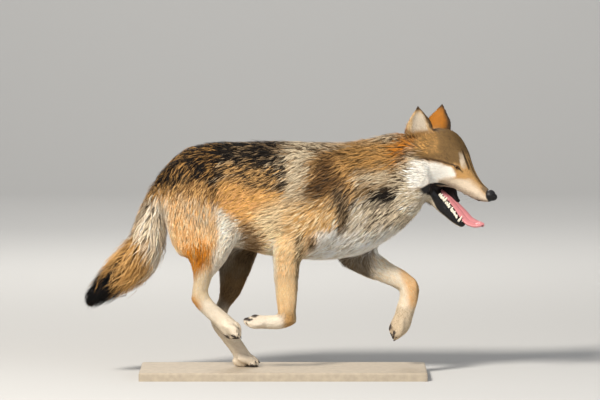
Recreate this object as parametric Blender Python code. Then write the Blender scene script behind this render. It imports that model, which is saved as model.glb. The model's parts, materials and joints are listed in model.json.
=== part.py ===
"""A Mexican gray wolf at a run, life size, as a still model on a plain base.

Metres. +X is the way the wolf faces, +Y is its left side and +Z is up. The origin is the middle of
the underside of the base. Every height in the tables below is measured from the top of the base,
where the one paw that bears on the ground stands.
"""

import math
from collections import namedtuple

import bmesh
import bpy
from mathutils import Matrix, Vector
from mathutils.bvhtree import BVHTree

BASE = {"length": 0.86, "width": 0.36, "thickness": 0.026, "bevel": 0.006, "middle_x": -0.02}
CLEARANCE = 0.0004  # gap left between neighbouring solids
CUT = 0.0006  # width of the thin cuts that part the body
SPECK = 0.00004  # edges shorter than this are merged after a cut
VOXEL = 0.0038  # grain of the mesh that joins the body's lofts
SMOOTHING = 9
BODY_TRIANGLES = 3000  # of the whole body before it is parted

HEAD = {"eyes": (0.512, -0.058, 0.608), "pitch": 24.0, "yaw": 27.0}
EYE = {"radius": 0.0118, "looks": (0.62, 0.78, 0.10), "from": (-0.031, 0.0, -0.003), "sunk": 0.0076}
EAR = {"root": (-0.131, 0.050, 0.018), "tip": (-0.168, 0.084, 0.124), "opens": (0.50, 0.86, 0.10)}
EAR.update(half_width=0.038, scoop=0.020, thickness=0.0065)
SPIKE_ROOT = 0.006  # how far teeth and claws reach into what they grow from
PAW = {"toe_spacing": 0.0175, "toe_radius": 0.0125, "outer_toe_shorter": 0.010, "claw": 0.013}

# A section of a loft: the two outline points that it spans, each (x, z), its half width and its y.
Section = namedtuple("Section", "upper lower half_width y", defaults=[0.0])


TRUNK = [
    Section((-0.386, 0.590), (-0.372, 0.480), 0.046),
    Section((-0.345, 0.637), (-0.336, 0.415), 0.076),
    Section((-0.300, 0.665), (-0.285, 0.390), 0.087),
    Section((-0.234, 0.679), (-0.225, 0.378), 0.089),
    Section((-0.150, 0.680), (-0.150, 0.362), 0.088),
    Section((-0.060, 0.682), (-0.066, 0.340), 0.098),
    Section((0.030, 0.680), (0.024, 0.329), 0.106),
    Section((0.105, 0.678), (0.120, 0.327), 0.108),
    Section((0.165, 0.678), (0.216, 0.345), 0.104, -0.002),
    Section((0.234, 0.690), (0.290, 0.385), 0.095, -0.006),
    Section((0.291, 0.706), (0.342, 0.424), 0.091, -0.014),
    Section((0.336, 0.708), (0.381, 0.462), 0.087, -0.026),
    Section((0.380, 0.686), (0.408, 0.510), 0.076, -0.040),
]

SKULL = [
    Section((-0.150, 0.045), (-0.150, -0.085), 0.068),
    Section((-0.115, 0.074), (-0.115, -0.100), 0.083),
    Section((-0.075, 0.083), (-0.075, -0.098), 0.086),
    Section((-0.040, 0.073), (-0.040, -0.086), 0.072),
    Section((-0.012, 0.055), (-0.012, -0.074), 0.056),
    Section((0.014, 0.032), (0.014, -0.068), 0.044),
    Section((0.042, 0.005), (0.042, -0.068), 0.038),
    Section((0.075, -0.015), (0.075, -0.069), 0.033),
    Section((0.102, -0.023), (0.102, -0.067), 0.029),
    Section((0.116, -0.027), (0.116, -0.062), 0.024),
]

JAW = [
    Section((-0.085, -0.050), (-0.104, -0.118), 0.055),
    Section((-0.045, -0.078), (-0.062, -0.137), 0.050),
    Section((-0.010, -0.101), (-0.026, -0.149), 0.041),
    Section((0.025, -0.119), (0.010, -0.157), 0.032),
    Section((0.055, -0.134), (0.044, -0.165), 0.025),
    Section((0.074, -0.143), (0.066, -0.167), 0.019),
]

NOSE = [
    Section((0.110, -0.027), (0.110, -0.052), 0.015),
    Section((0.120, -0.022), (0.121, -0.054), 0.0185),
    Section((0.129, -0.024), (0.128, -0.052), 0.017),
]

TONGUE = [
    Section((-0.030, -0.090), (-0.032, -0.100), 0.0110),
    Section((0.020, -0.108), (0.015, -0.119), 0.0130),
    Section((0.062, -0.127), (0.056, -0.137), 0.0115),
    Section((0.090, -0.138), (0.085, -0.147), 0.0165),
    Section((0.116, -0.131), (0.113, -0.140), 0.0185),
    Section((0.136, -0.122), (0.136, -0.130), 0.0120),
]

TAIL = [
    Section((-0.352, 0.590), (-0.310, 0.540), 0.024),
    Section((-0.412, 0.556), (-0.362, 0.500), 0.034),
    Section((-0.438, 0.502), (-0.372, 0.465), 0.041),
    Section((-0.456, 0.450), (-0.375, 0.415), 0.046),
    Section((-0.481, 0.388), (-0.384, 0.350), 0.050),
    Section((-0.530, 0.336), (-0.425, 0.274), 0.050),
    Section((-0.572, 0.276), (-0.494, 0.236), 0.042),
    Section((-0.596, 0.232), (-0.556, 0.208), 0.026),
]

LEGS = {
    "foreleg_right": [
        Section((0.125, 0.600), (0.235, 0.560), 0.030, -0.071),
        Section((0.075, 0.520), (0.230, 0.480), 0.042, -0.074),
        Section((0.020, 0.440), (0.150, 0.400), 0.044, -0.076),
        Section((-0.046, 0.372), (0.060, 0.345), 0.040, -0.074),
        Section((-0.050, 0.322), (0.031, 0.320), 0.032, -0.069),
        Section((-0.046, 0.246), (0.026, 0.246), 0.027, -0.066),
        Section((-0.037, 0.175), (0.019, 0.172), 0.023, -0.065),
        Section((-0.031, 0.160), (0.020, 0.140), 0.024, -0.064),
        Section((-0.040, 0.163), (-0.025, 0.120), 0.023, -0.063),
        Section((-0.075, 0.163), (-0.075, 0.121), 0.025, -0.062),
        Section((-0.102, 0.163), (-0.104, 0.121), 0.030, -0.062),
    ],
    "foreleg_left": [
        Section((0.130, 0.590), (0.240, 0.570), 0.030, 0.071),
        Section((0.150, 0.500), (0.290, 0.480), 0.042, 0.074),
        Section((0.150, 0.400), (0.290, 0.400), 0.044, 0.074),
        Section((0.146, 0.318), (0.262, 0.350), 0.040, 0.072),
        Section((0.215, 0.272), (0.290, 0.322), 0.033, 0.067),
        Section((0.268, 0.254), (0.318, 0.304), 0.029, 0.061),
        Section((0.318, 0.233), (0.352, 0.284), 0.025, 0.056),
        Section((0.330, 0.222), (0.388, 0.250), 0.025, 0.053),
        Section((0.325, 0.195), (0.386, 0.200), 0.024, 0.051),
        Section((0.311, 0.150), (0.372, 0.150), 0.026, 0.048),
        Section((0.300, 0.126), (0.363, 0.118), 0.030, 0.046),
    ],
    "hindleg_right": [
        Section((-0.370, 0.600), (-0.180, 0.610), 0.033, -0.050),
        Section((-0.388, 0.520), (-0.175, 0.530), 0.046, -0.057),
        Section((-0.372, 0.430), (-0.168, 0.455), 0.049, -0.064),
        Section((-0.340, 0.352), (-0.158, 0.390), 0.046, -0.072),
        Section((-0.302, 0.330), (-0.185, 0.335), 0.036, -0.074),
        Section((-0.290, 0.280), (-0.229, 0.280), 0.027, -0.067),
        Section((-0.294, 0.232), (-0.243, 0.242), 0.022, -0.060),
        Section((-0.296, 0.206), (-0.241, 0.222), 0.021, -0.057),
        Section((-0.270, 0.172), (-0.225, 0.200), 0.020, -0.055),
        Section((-0.226, 0.132), (-0.188, 0.168), 0.022, -0.053),
        Section((-0.200, 0.102), (-0.156, 0.140), 0.028, -0.052),
    ],
    "hindleg_left": [
        Section((-0.360, 0.600), (-0.160, 0.610), 0.033, 0.050),
        Section((-0.350, 0.520), (-0.130, 0.530), 0.046, 0.057),
        Section((-0.320, 0.440), (-0.090, 0.455), 0.049, 0.064),
        Section((-0.270, 0.370), (-0.080, 0.385), 0.044, 0.071),
        Section((-0.225, 0.318), (-0.104, 0.322), 0.034, 0.069),
        Section((-0.214, 0.262), (-0.126, 0.268), 0.027, 0.060),
        Section((-0.216, 0.205), (-0.150, 0.214), 0.023, 0.050),
        Section((-0.240, 0.152), (-0.184, 0.172), 0.022, 0.043),
        Section((-0.232, 0.112), (-0.184, 0.136), 0.020, 0.039),
        Section((-0.190, 0.058), (-0.150, 0.086), 0.022, 0.034),
        Section((-0.160, 0.016), (-0.124, 0.047), 0.028, 0.031),
    ],
}

# Each foot: middle of its knuckles, the way its toes run, the way their backs face, and toe length.
FEET = {
    "foreleg_right": ((-0.096, -0.062, 0.141), (-1.0, 0, 0.02), (0.05, 0, -1.0), 0.050),
    "foreleg_left": ((0.332, 0.046, 0.128), (-0.28, 0, -0.96), (0.96, 0, -0.28), 0.050),
    "hindleg_right": ((-0.184, -0.052, 0.126), (0.80, 0, -0.60), (0.60, 0, 0.80), 0.046),
    "hindleg_left": ((-0.142, 0.031, 0.023), (0.985, 0, -0.17), (0.17, 0, 0.985), 0.048),
}

# Cuts across limbs, neck and tail: a point of the cut, its normal and its two half sizes.
CUTS = {
    "neck": ((0.315, -0.01, 0.565), (0.94, 0, 0.34), (0.20, 0.24)),
    "throat": ((0.374, -0.04, 0.600), (0.90, -0.30, 0.22), (0.16, 0.18)),
    "tail_root": ((-0.385, 0, 0.515), (-0.949, 0, -0.316), (0.046, 0.098)),
    "tail_middle": ((-0.455, 0, 0.340), (-0.62, 0, -0.78), (0.10, 0.10)),
    "wrist_right": ((-0.020, -0.064, 0.148), (0.70, 0, 0.71), (0.055, 0.050)),
    "wrist_left": ((0.348, 0.054, 0.240), (0.50, 0, -0.86), (0.055, 0.050)),
    "hock_right": ((-0.268, -0.057, 0.210), (-0.30, 0, 0.95), (0.050, 0.045)),
    "hock_left": ((-0.210, 0.042, 0.150), (-0.40, 0, 0.92), (0.050, 0.045)),
}

# Rounded shells that part the shoulders and thighs from the trunk and end at the elbow and knee.
SHELLS = {
    "shoulder_right": [
        Section((0.110, 0.600), (0.250, 0.555), 0.050, -0.086),
        Section((0.055, 0.520), (0.240, 0.470), 0.065, -0.086),
        Section((0.000, 0.440), (0.172, 0.385), 0.065, -0.087),
        Section((-0.068, 0.345), (0.092, 0.298), 0.068, -0.084),
    ],
    "shoulder_left": [
        Section((0.110, 0.600), (0.250, 0.600), 0.050, 0.086),
        Section((0.125, 0.500), (0.305, 0.490), 0.065, 0.086),
        Section((0.125, 0.400), (0.310, 0.400), 0.065, 0.087),
        Section((0.128, 0.302), (0.290, 0.350), 0.057, 0.086),
    ],
    "thigh_right": [
        Section((-0.385, 0.600), (-0.190, 0.600), 0.062, -0.100),
        Section((-0.405, 0.480), (-0.150, 0.480), 0.064, -0.102),
        Section((-0.385, 0.360), (-0.135, 0.385), 0.070, -0.088),
    ],
    "thigh_left": [
        Section((-0.385, 0.600), (-0.170, 0.600), 0.062, 0.100),
        Section((-0.395, 0.480), (-0.105, 0.480), 0.064, 0.102),
        Section((-0.310, 0.345), (-0.060, 0.365), 0.070, 0.088),
    ],
}

# Where the middle of each part of the parted body lies, and the coat that it carries.
PARTS = {
    "trunk": ((-0.03, 0.0, 0.51), "gray_fawn"),
    "neck": ((0.33, -0.02, 0.57), "buff"),
    "head": ((0.50, -0.06, 0.60), "buff"),
    "tail_root": ((-0.42, 0.0, 0.43), "cream"),
    "tail_brush": ((-0.51, 0.0, 0.28), "saddle"),
    "shoulder_right": ((0.09, -0.09, 0.46), "gray_fawn"),
    "shoulder_left": ((0.21, 0.09, 0.46), "gray_fawn"),
    "forearm_right": ((-0.01, -0.077, 0.24), "cream"),
    "forearm_left": ((0.28, 0.07, 0.27), "cream"),
    "forefoot_right": ((-0.09, -0.072, 0.14), "cream"),
    "forefoot_left": ((0.34, 0.055, 0.16), "cream"),
    "thigh_right": ((-0.27, -0.08, 0.47), "buff"),
    "thigh_left": ((-0.22, 0.08, 0.47), "buff"),
    "shank_right": ((-0.26, -0.078, 0.28), "russet"),
    "shank_left": ((-0.17, 0.07, 0.24), "russet"),
    "hindfoot_right": ((-0.20, -0.06, 0.15), "cream"),
    "hindfoot_left": ((-0.17, 0.04, 0.08), "cream"),
}

COATS = {
    "gray_fawn": (0.42, 0.33, 0.22),
    "saddle": (0.22, 0.18, 0.13),
    "buff": (0.62, 0.47, 0.30),
    "cream": (0.78, 0.68, 0.54),
    "russet": (0.52, 0.32, 0.15),
}

# The cut behind the corners of the mouth, in the head's own frame, and the middles of its two parts.
JAW_CUT = {
    "point": (-0.060, 0, -0.101),
    "normal": (-0.28, 0, 0.96),
    "half_size": (0.17, 0.070),
    "parts": {"head": (0.50, -0.06, 0.62), "lower_jaw": (0.46, -0.04, 0.47)},
}

# Spheres (middle, radius) over the head and feet, where the body keeps its small triangles.
FINE_PLACES = [
    ((0.52, -0.06, 0.60), 0.16),
    ((-0.13, -0.072, 0.141), 0.07),
    ((0.325, 0.054, 0.10), 0.07),
    ((-0.16, -0.060, 0.11), 0.06),
    ((-0.12, 0.036, 0.02), 0.06),
]

# Each tooth in the head's own frame: x, z and y of its root, its length and its radius.
TEETH = {
    "head": [
        (0.097, -0.066, 0.0175, 0.012, 0.0040),
        (0.074, -0.068, 0.0205, 0.005, 0.0032),
        (0.052, -0.067, 0.0235, 0.005, 0.0036),
        (0.028, -0.066, 0.0260, 0.007, 0.0046),
        (0.100, -0.0625, 0.0065, 0.008, 0.0028),
    ],
    "lower_jaw": [
        (0.064, -0.146, 0.0170, 0.018, 0.0036),
        (0.047, -0.131, 0.0190, 0.007, 0.0032),
        (0.028, -0.121, 0.0225, 0.008, 0.0036),
        (0.008, -0.110, 0.0265, 0.009, 0.0044),
    ],
}

def material(name, color, roughness=0.8, metallic=0.0):
    made = bpy.data.materials.new(name)
    made.use_nodes = True
    shader = made.node_tree.nodes["Principled BSDF"]
    shader.inputs["Base Color"].default_value = (*color, 1.0)
    shader.inputs["Roughness"].default_value = roughness
    shader.inputs["Metallic"].default_value = metallic
    return made


def head_matrix():
    """Carries the head's own frame, eyes at its origin and muzzle along +X, to its place on the neck."""
    turn = Matrix.Rotation(math.radians(-HEAD["yaw"]), 4, "Z")
    nod = Matrix.Rotation(math.radians(HEAD["pitch"]), 4, "Y")
    return Matrix.Translation(HEAD["eyes"]) @ turn @ nod


def between(a, b, c, d, t):
    """Catmull-Rom value at t from b to c."""
    return 0.5 * (2 * b + (c - a) * t + (2 * a - 5 * b + 4 * c - d) * t**2 + (3 * b - a - 3 * c + d) * t**3)


def refined(rows, steps):
    """Rows of numbers with a smooth curve's rows put between them."""
    made = []
    for i in range(len(rows) - 1):
        around = [rows[max(0, min(len(rows) - 1, i + k))] for k in (-1, 0, 1, 2)]
        for step in range(steps):
            made.append([between(*values, step / steps) for values in zip(*around)])
    return made + [list(rows[-1])]


def ring_rows(sections):
    """Each outline section as a row: middle, half depth vector and half width."""
    rows = []
    for s in sections:
        (ux, uz), (lx, lz) = s.upper, s.lower
        rows.append([(ux + lx) / 2, s.y, (uz + lz) / 2, (ux - lx) / 2, 0, (uz - lz) / 2, 0, s.half_width, 0])
    return rows


def add_loft(
    bm, rows, steps=4, sides=24, squareness=2.2, blunt=0.6, place=Matrix.Identity(4), keel=0.0, cap=(25, 50, 72)
):
    """A closed tube through the rows' rings, with rounded ends. keel widens (+) or narrows its upper side."""
    rows = refined(rows, steps)
    middles = [Vector(r[0:3]) for r in rows]
    rounding = [math.radians(a) for a in cap]
    rings = []

    def ring(middle, depth, width, scale=1.0):
        verts = []
        for i in range(sides):
            angle = 2 * math.pi * i / sides
            c, s = math.cos(angle), math.sin(angle)
            up = math.copysign(abs(c) ** (2 / squareness), c)
            out = math.copysign(abs(s) ** (2 / squareness), s) * (1 + keel * up)
            verts.append(bm.verts.new(place @ (middle + (depth * up + width * out) * scale)))
        rings.append(verts)

    def end(index, neighbour, order):
        depth, width = Vector(rows[index][3:6]), Vector(rows[index][6:9])
        away = (middles[index] - middles[neighbour]).normalized()
        reach = min(depth.length, width.length) * 2 * blunt
        for angle in order:
            ring(middles[index] + away * reach * math.sin(angle), depth, width, math.cos(angle))
        return middles[index] + away * reach

    first_tip = end(0, 1, reversed(rounding))
    for row, middle in zip(rows, middles):
        ring(middle, Vector(row[3:6]), Vector(row[6:9]))
    last_tip = end(-1, -2, rounding)
    for a, b in zip(rings, rings[1:]):
        for i in range(sides):
            j = (i + 1) % sides
            bm.faces.new((a[i], a[j], b[j], b[i]))
    for tip, verts in ((first_tip, rings[0]), (last_tip, rings[-1])):
        pole = bm.verts.new(place @ tip)
        for i in range(sides):
            bm.faces.new((verts[i], verts[(i + 1) % sides], pole))
    return rings


def finished(bm, name):
    bmesh.ops.recalc_face_normals(bm, faces=bm.faces)
    mesh = bpy.data.meshes.new(name)
    bm.to_mesh(mesh)
    bm.free()
    made = bpy.data.objects.new(name, mesh)
    bpy.context.scene.collection.objects.link(made)
    return made


def evaluated(thing):
    """The object with its modifiers applied to its mesh."""
    graph = bpy.context.evaluated_depsgraph_get()
    mesh = bpy.data.meshes.new_from_object(thing.evaluated_get(graph))
    thing.modifiers.clear()
    thing.data = mesh
    return thing


def boolean(thing, cutter, operation="DIFFERENCE"):
    """Cuts or joins thing with cutter, which is removed."""
    modifier = thing.modifiers.new(operation.title(), "BOOLEAN")
    modifier.object, modifier.operation, modifier.solver = cutter, operation, "EXACT"
    evaluated(thing)
    bpy.data.objects.remove(cutter)
    bm = bmesh.new()
    bm.from_mesh(thing.data)
    bmesh.ops.triangulate(bm, faces=bm.faces)
    bmesh.ops.dissolve_degenerate(bm, edges=bm.edges, dist=SPECK)
    bm.to_mesh(thing.data)
    bm.free()
    return thing


def grown(thing, distance):
    """A copy of a closed mesh with each vertex moved out along its normal."""
    made = thing.copy()
    made.data = thing.data.copy()
    made.name = thing.name + "_grown"
    bpy.context.scene.collection.objects.link(made)
    moves = [v.normal * distance for v in made.data.vertices]
    for vertex, move in zip(made.data.vertices, moves):
        vertex.co += move
    return made


def toe_places(foot):
    """Root, tip, back direction and length for each of a foot's four toes."""
    knuckles, way, back, length = FEET[foot]
    way, back = Vector(way).normalized(), Vector(back).normalized()
    for place in (-1.5, -0.5, 0.5, 1.5):
        reach = length - (PAW["outer_toe_shorter"] if abs(place) > 1 else 0)
        root = Vector(knuckles) + Vector((0, place * PAW["toe_spacing"], 0))
        fan = (way + Vector((0, place * 0.05, 0))).normalized()
        yield root, root + fan * reach, back, reach


def add_feet(bm):
    """Toes with a raised knuckle and a pad under each, and the large pad behind them."""
    r = PAW["toe_radius"]
    for foot in FEET:
        for root, tip, back, _ in toe_places(foot):
            way = tip - root
            rows = []
            for along, lift, size in ((-0.25, 0.10, 0.85), (0.25, 0.25, 1.05), (0.62, 0.10, 1.0), (0.88, -0.20, 0.80)):
                middle = root + way * along + back * r * lift
                rows.append([*middle, *(back * r * size), 0, r * size * 0.82, 0])
            add_loft(bm, rows, steps=3, sides=14)
        knuckles, way, back, _ = FEET[foot]
        way, back = Vector(way).normalized(), Vector(back).normalized()
        heel = Vector(knuckles) - back * r * 0.85 - way * 0.008
        rows = [[*(heel + way * d), *(back * 0.012), 0, w, 0] for d, w in ((-0.010, 0.018), (0.004, 0.024), (0.016, 0.017))]
        add_loft(bm, rows, steps=3, sides=14)


def plainness(point):
    """How freely triangles may be merged at a point: least on the head and feet, most on the trunk."""
    nearest = min((point - Vector(spot)).length - reach for spot, reach in FINE_PLACES)
    return max(0.95, min(1.0, nearest / 0.05))


def body_of_lofts():
    """The whole body as one closed, smooth mesh."""
    bm = bmesh.new()
    add_loft(bm, ring_rows(TRUNK), sides=40, keel=-0.06, blunt=0.25)
    add_loft(bm, ring_rows(TAIL), blunt=0.9)
    for sections in LEGS.values():
        add_loft(bm, ring_rows(sections), squareness=2.0)
    add_loft(bm, ring_rows(SKULL), sides=36, place=head_matrix(), keel=-0.12, squareness=2.5)
    add_loft(bm, ring_rows(JAW), place=head_matrix(), squareness=2.4)
    add_feet(bm)
    body = finished(bm, "body")
    remesh = body.modifiers.new("Join", "REMESH")
    remesh.mode, remesh.voxel_size = "VOXEL", VOXEL
    smooth = body.modifiers.new("Soften", "SMOOTH")
    smooth.factor, smooth.iterations = 0.5, SMOOTHING
    evaluated(body)
    fine = body.vertex_groups.new(name="Plain")
    for vertex in body.data.vertices:
        fine.add([vertex.index], plainness(vertex.co), "REPLACE")
    fewer = body.modifiers.new("Lighten", "DECIMATE")
    fewer.vertex_group, fewer.vertex_group_factor = "Plain", 1.0
    fewer.ratio = BODY_TRIANGLES / (2 * len(body.data.polygons))
    return evaluated(body)


def slab(point, normal, half_size):
    """A thin flat cutter."""
    bm = bmesh.new()
    bmesh.ops.create_cube(bm, size=1.0)
    size = Matrix.Diagonal((half_size[0] * 2, half_size[1] * 2, CUT, 1))
    turn = Vector(normal).to_track_quat("Z", "Y").to_matrix().to_4x4()
    bmesh.ops.transform(bm, matrix=Matrix.Translation(point) @ turn @ size, verts=bm.verts)
    return finished(bm, "slab")


def shell(sections):
    """A thin closed wall round a limb: one rounded loft with a slightly smaller one hollowed out of it."""
    lofts = []
    for _ in range(2):
        bm = bmesh.new()
        add_loft(bm, ring_rows(sections), steps=1, sides=14, squareness=3.0, blunt=0.18, cap=(50,))
        lofts.append(finished(bm, "shell"))
    outer, inner = lofts
    for vertex, move in [(v, v.normal * -CUT) for v in inner.data.vertices]:
        vertex.co += move
    return boolean(outer, inner)


def loose_pieces(thing):
    """One new object for each loose piece of a mesh, which is removed."""
    bm = bmesh.new()
    bm.from_mesh(thing.data)
    unseen = set(bm.verts)
    made = []
    while unseen:
        stack = [unseen.pop()]
        group = set(stack)
        while stack:
            vertex = stack.pop()
            near = {edge.other_vert(vertex) for edge in vertex.link_edges} & unseen
            unseen -= near
            group |= near
            stack.extend(near)
        piece = bmesh.new()
        copies = {vertex: piece.verts.new(vertex.co) for vertex in sorted(group, key=lambda v: v.index)}
        for face in bm.faces:
            if face.verts[0] in group:
                piece.faces.new([copies[v] for v in face.verts])
        made.append(finished(piece, "piece"))
    bm.free()
    bpy.data.objects.remove(thing)
    return made


def middle_of(thing):
    points = [v.co for v in thing.data.vertices]
    return sum(points, Vector()) / len(points)


def parted(body, cutters, places):
    """Cuts the body and names each piece after the nearest place."""
    for cutter in cutters:
        boolean(body, cutter)
    found = {}
    for piece in loose_pieces(body):
        middle = middle_of(piece)
        name = min(places, key=lambda n: (middle - Vector(places[n])).length)
        if name in found:
            raise ValueError(f"two pieces of the body lie nearest to {name}")
        piece.name = name
        found[name] = piece
    return found


def ball(name, middle, radius):
    bm = bmesh.new()
    turn = Matrix.Translation(middle) @ head_matrix().to_3x3().to_4x4() @ Matrix.Rotation(math.pi / 2, 4, "X")
    bmesh.ops.create_uvsphere(bm, u_segments=12, v_segments=8, radius=radius, matrix=turn)
    return finished(bm, name)


def eye_middles(body):
    """The two eyes' middles, each a little under the face where the line of sight leaves it."""
    tree = BVHTree.FromObject(body, bpy.context.evaluated_depsgraph_get())
    place = head_matrix()
    for side in (1, -1):
        looks = Vector(EYE["looks"])
        looks.y *= side
        looks.normalize()
        start = place @ (Vector(EYE["from"]) + looks * 0.15)
        way = -(place.to_3x3() @ looks)
        surface = tree.ray_cast(start, way)[0]
        yield side, surface + way * EYE["sunk"]


def ear(name, side):
    """A scoop with a rounded tip, thick at its back and thin at its rim."""
    root, tip, opens = (Vector(EAR[key]) for key in ("root", "tip", "opens"))
    for v in (root, tip, opens):
        v.y *= side
    opens.normalize()
    up = tip - root
    across = up.cross(opens).normalized()
    rows, columns = 8, 7
    front, back = [], []
    bm = bmesh.new()
    place = head_matrix()
    for i in range(rows):
        u = i / (rows - 1)
        wide = EAR["half_width"] * (0.86 + 0.34 * u) * (1 - u**1.7) ** 0.80 + 0.0025
        for j in range(columns):
            v = 2 * j / (columns - 1) - 1
            fold = EAR["scoop"] * (1 - 0.75 * u) * (v * v - 0.5)
            middle = root + up * u + across * wide * v + opens * fold
            half = EAR["thickness"] * (1 - 0.55 * abs(v) ** 3) * (1 - 0.45 * u) / 2
            front.append(bm.verts.new(place @ (middle + opens * half)))
            back.append(bm.verts.new(place @ (middle - opens * half)))
    for grid in (front, back):
        for i in range(rows - 1):
            for j in range(columns - 1):
                a = i * columns + j
                bm.faces.new((grid[a], grid[a + 1], grid[a + columns + 1], grid[a + columns]))
    last = (rows - 1) * columns
    rim = list(range(columns)) + [i * columns + columns - 1 for i in range(1, rows)]
    rim += list(range(last + columns - 2, last - 1, -1)) + [i * columns for i in range(rows - 2, 0, -1)]
    for a, b in zip(rim, rim[1:] + rim[:1]):
        bm.faces.new((front[a], front[b], back[b], back[a]))
    return finished(bm, name)


def cone(middle, way, length, radius, sides=8, bend=0.0, bend_to=(0, 0, 1)):
    """A slightly bent spike for a tooth or a claw, with a blunt tip."""
    bm = bmesh.new()
    way = Vector(way).normalized()
    side = way.orthogonal().normalized()
    other = way.cross(side)
    rings = []
    for along, wide in ((-SPIKE_ROOT / length, 1.0), (0.45, 0.80), (1.0, 0.24)):
        centre = Vector(middle) + way * length * along + Vector(bend_to) * bend * max(along, 0) ** 2
        angles = [2 * math.pi * k / sides for k in range(sides)]
        rings.append([bm.verts.new(centre + (side * math.cos(a) + other * math.sin(a)) * radius * wide) for a in angles])
    for a, b in zip(rings, rings[1:]):
        for k in range(sides):
            m = (k + 1) % sides
            bm.faces.new((a[k], a[m], b[m], b[k]))
    bm.faces.new(rings[0])
    bm.faces.new(rings[-1])
    return finished(bm, "spike")


def add_claws(parts):
    for leg, foot in (("foreleg", "forefoot"), ("hindleg", "hindfoot")):
        for side in ("right", "left"):
            for root, tip, back, _ in toe_places(f"{leg}_{side}"):
                way = (tip - root).normalized()
                start = tip + way * 0.002 + back * 0.001
                claw = cone(start, way - back * 0.35, PAW["claw"], 0.0034, 5, bend=-0.003, bend_to=back)
                boolean(parts[f"{foot}_{side}"], claw, "UNION")


def add_teeth(parts):
    """Canines and the smaller teeth behind and between them."""
    place = head_matrix()
    turn = place.to_3x3()
    for part, way in (("head", (0.05, 0, -1)), ("lower_jaw", (0.42, 0, 0.90))):
        for x, z, y, length, radius in TEETH[part]:
            for side in (1, -1):
                tooth = cone(place @ Vector((x, y * side, z)), turn @ Vector(way), length, radius, 5)
                boolean(parts[part], tooth, "UNION")


def colour_parts(parts, small, ears):
    coats = {name: material(name, color) for name, color in COATS.items()}
    for name, thing in parts.items():
        thing.data.materials.append(coats[PARTS[name][1] if name in PARTS else "cream"])
    looks = {
        "nose": material("black_skin", (0.03, 0.028, 0.028), 0.45),
        "tongue": material("wet_tongue", (0.55, 0.20, 0.20), 0.35),
        "eye": material("eye", (0.20, 0.11, 0.04), 0.1),
        "ear": material("ear_fur", (0.48, 0.30, 0.16)),
        "base": material("base_board", (0.12, 0.11, 0.10), 0.55),
    }
    for name, thing in {**small, **ears, "base": stand_base()}.items():
        thing.data.materials.append(looks[name.split("_")[0]])


def stand_base():
    bm = bmesh.new()
    bmesh.ops.create_cube(bm, size=1.0)
    size = Matrix.Diagonal((BASE["length"], BASE["width"], BASE["thickness"], 1))
    bmesh.ops.transform(bm, matrix=size, verts=bm.verts)
    bmesh.ops.translate(bm, vec=(BASE["middle_x"], 0, -BASE["thickness"] / 2), verts=bm.verts)
    top = [e for e in bm.edges if all(v.co.z > -1e-6 for v in e.verts)]
    corners = [e for e in bm.edges if abs(e.verts[0].co.z - e.verts[1].co.z) > 1e-6]
    bmesh.ops.bevel(bm, geom=top + corners, offset=BASE["bevel"], segments=3, affect="EDGES", profile=0.5)
    return finished(bm, "stand_base")


def flattened(thing, height):
    """Presses every point below a height up to it, as a paw's pads are pressed by the ground."""
    for vertex in thing.data.vertices:
        vertex.co.z = max(vertex.co.z, height)


def main():
    for thing in list(bpy.data.objects):
        bpy.data.objects.remove(thing)
    place = head_matrix()
    body = body_of_lofts()
    flattened(body, CLEARANCE)
    small = {}
    for name, sections in (("nose", NOSE), ("tongue", TONGUE)):
        bm = bmesh.new()
        add_loft(bm, ring_rows(sections), steps=1, sides=10, place=place, cap=(35, 65))
        small[name] = finished(bm, name)
    ears = {name: ear(name, side) for name, side in (("ear_left", 1), ("ear_right", -1))}
    for thing in ears.values():
        boolean(thing, grown(body, CLEARANCE))
    sockets = [grown(thing, CLEARANCE) for thing in small.values()]
    for side, middle in list(eye_middles(body)):
        name = "eye_left" if side > 0 else "eye_right"
        small[name] = ball(name, middle, EYE["radius"])
        sockets.append(ball("socket", middle, EYE["radius"] + CLEARANCE))
    for socket in sockets:
        boolean(body, socket)
    cutters = [slab(*cut) for cut in CUTS.values()] + [shell(sections) for sections in SHELLS.values()]
    parts = parted(body, cutters, {name: middle for name, (middle, _) in PARTS.items()})
    gape = slab(place @ Vector(JAW_CUT["point"]), place.to_3x3() @ Vector(JAW_CUT["normal"]), JAW_CUT["half_size"])
    parts.update(parted(parts.pop("head"), [gape], JAW_CUT["parts"]))
    add_teeth(parts)
    add_claws(parts)
    colour_parts(parts, small, ears)
    lift = Matrix.Translation((-BASE["middle_x"], 0, BASE["thickness"]))
    for thing in bpy.data.objects:
        thing.data.transform(lift)


main()
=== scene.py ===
import json
import math

import bmesh
import bpy
import numpy as np
from mathutils import Matrix, Vector, kdtree
from mathutils.bvhtree import BVHTree

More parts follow.
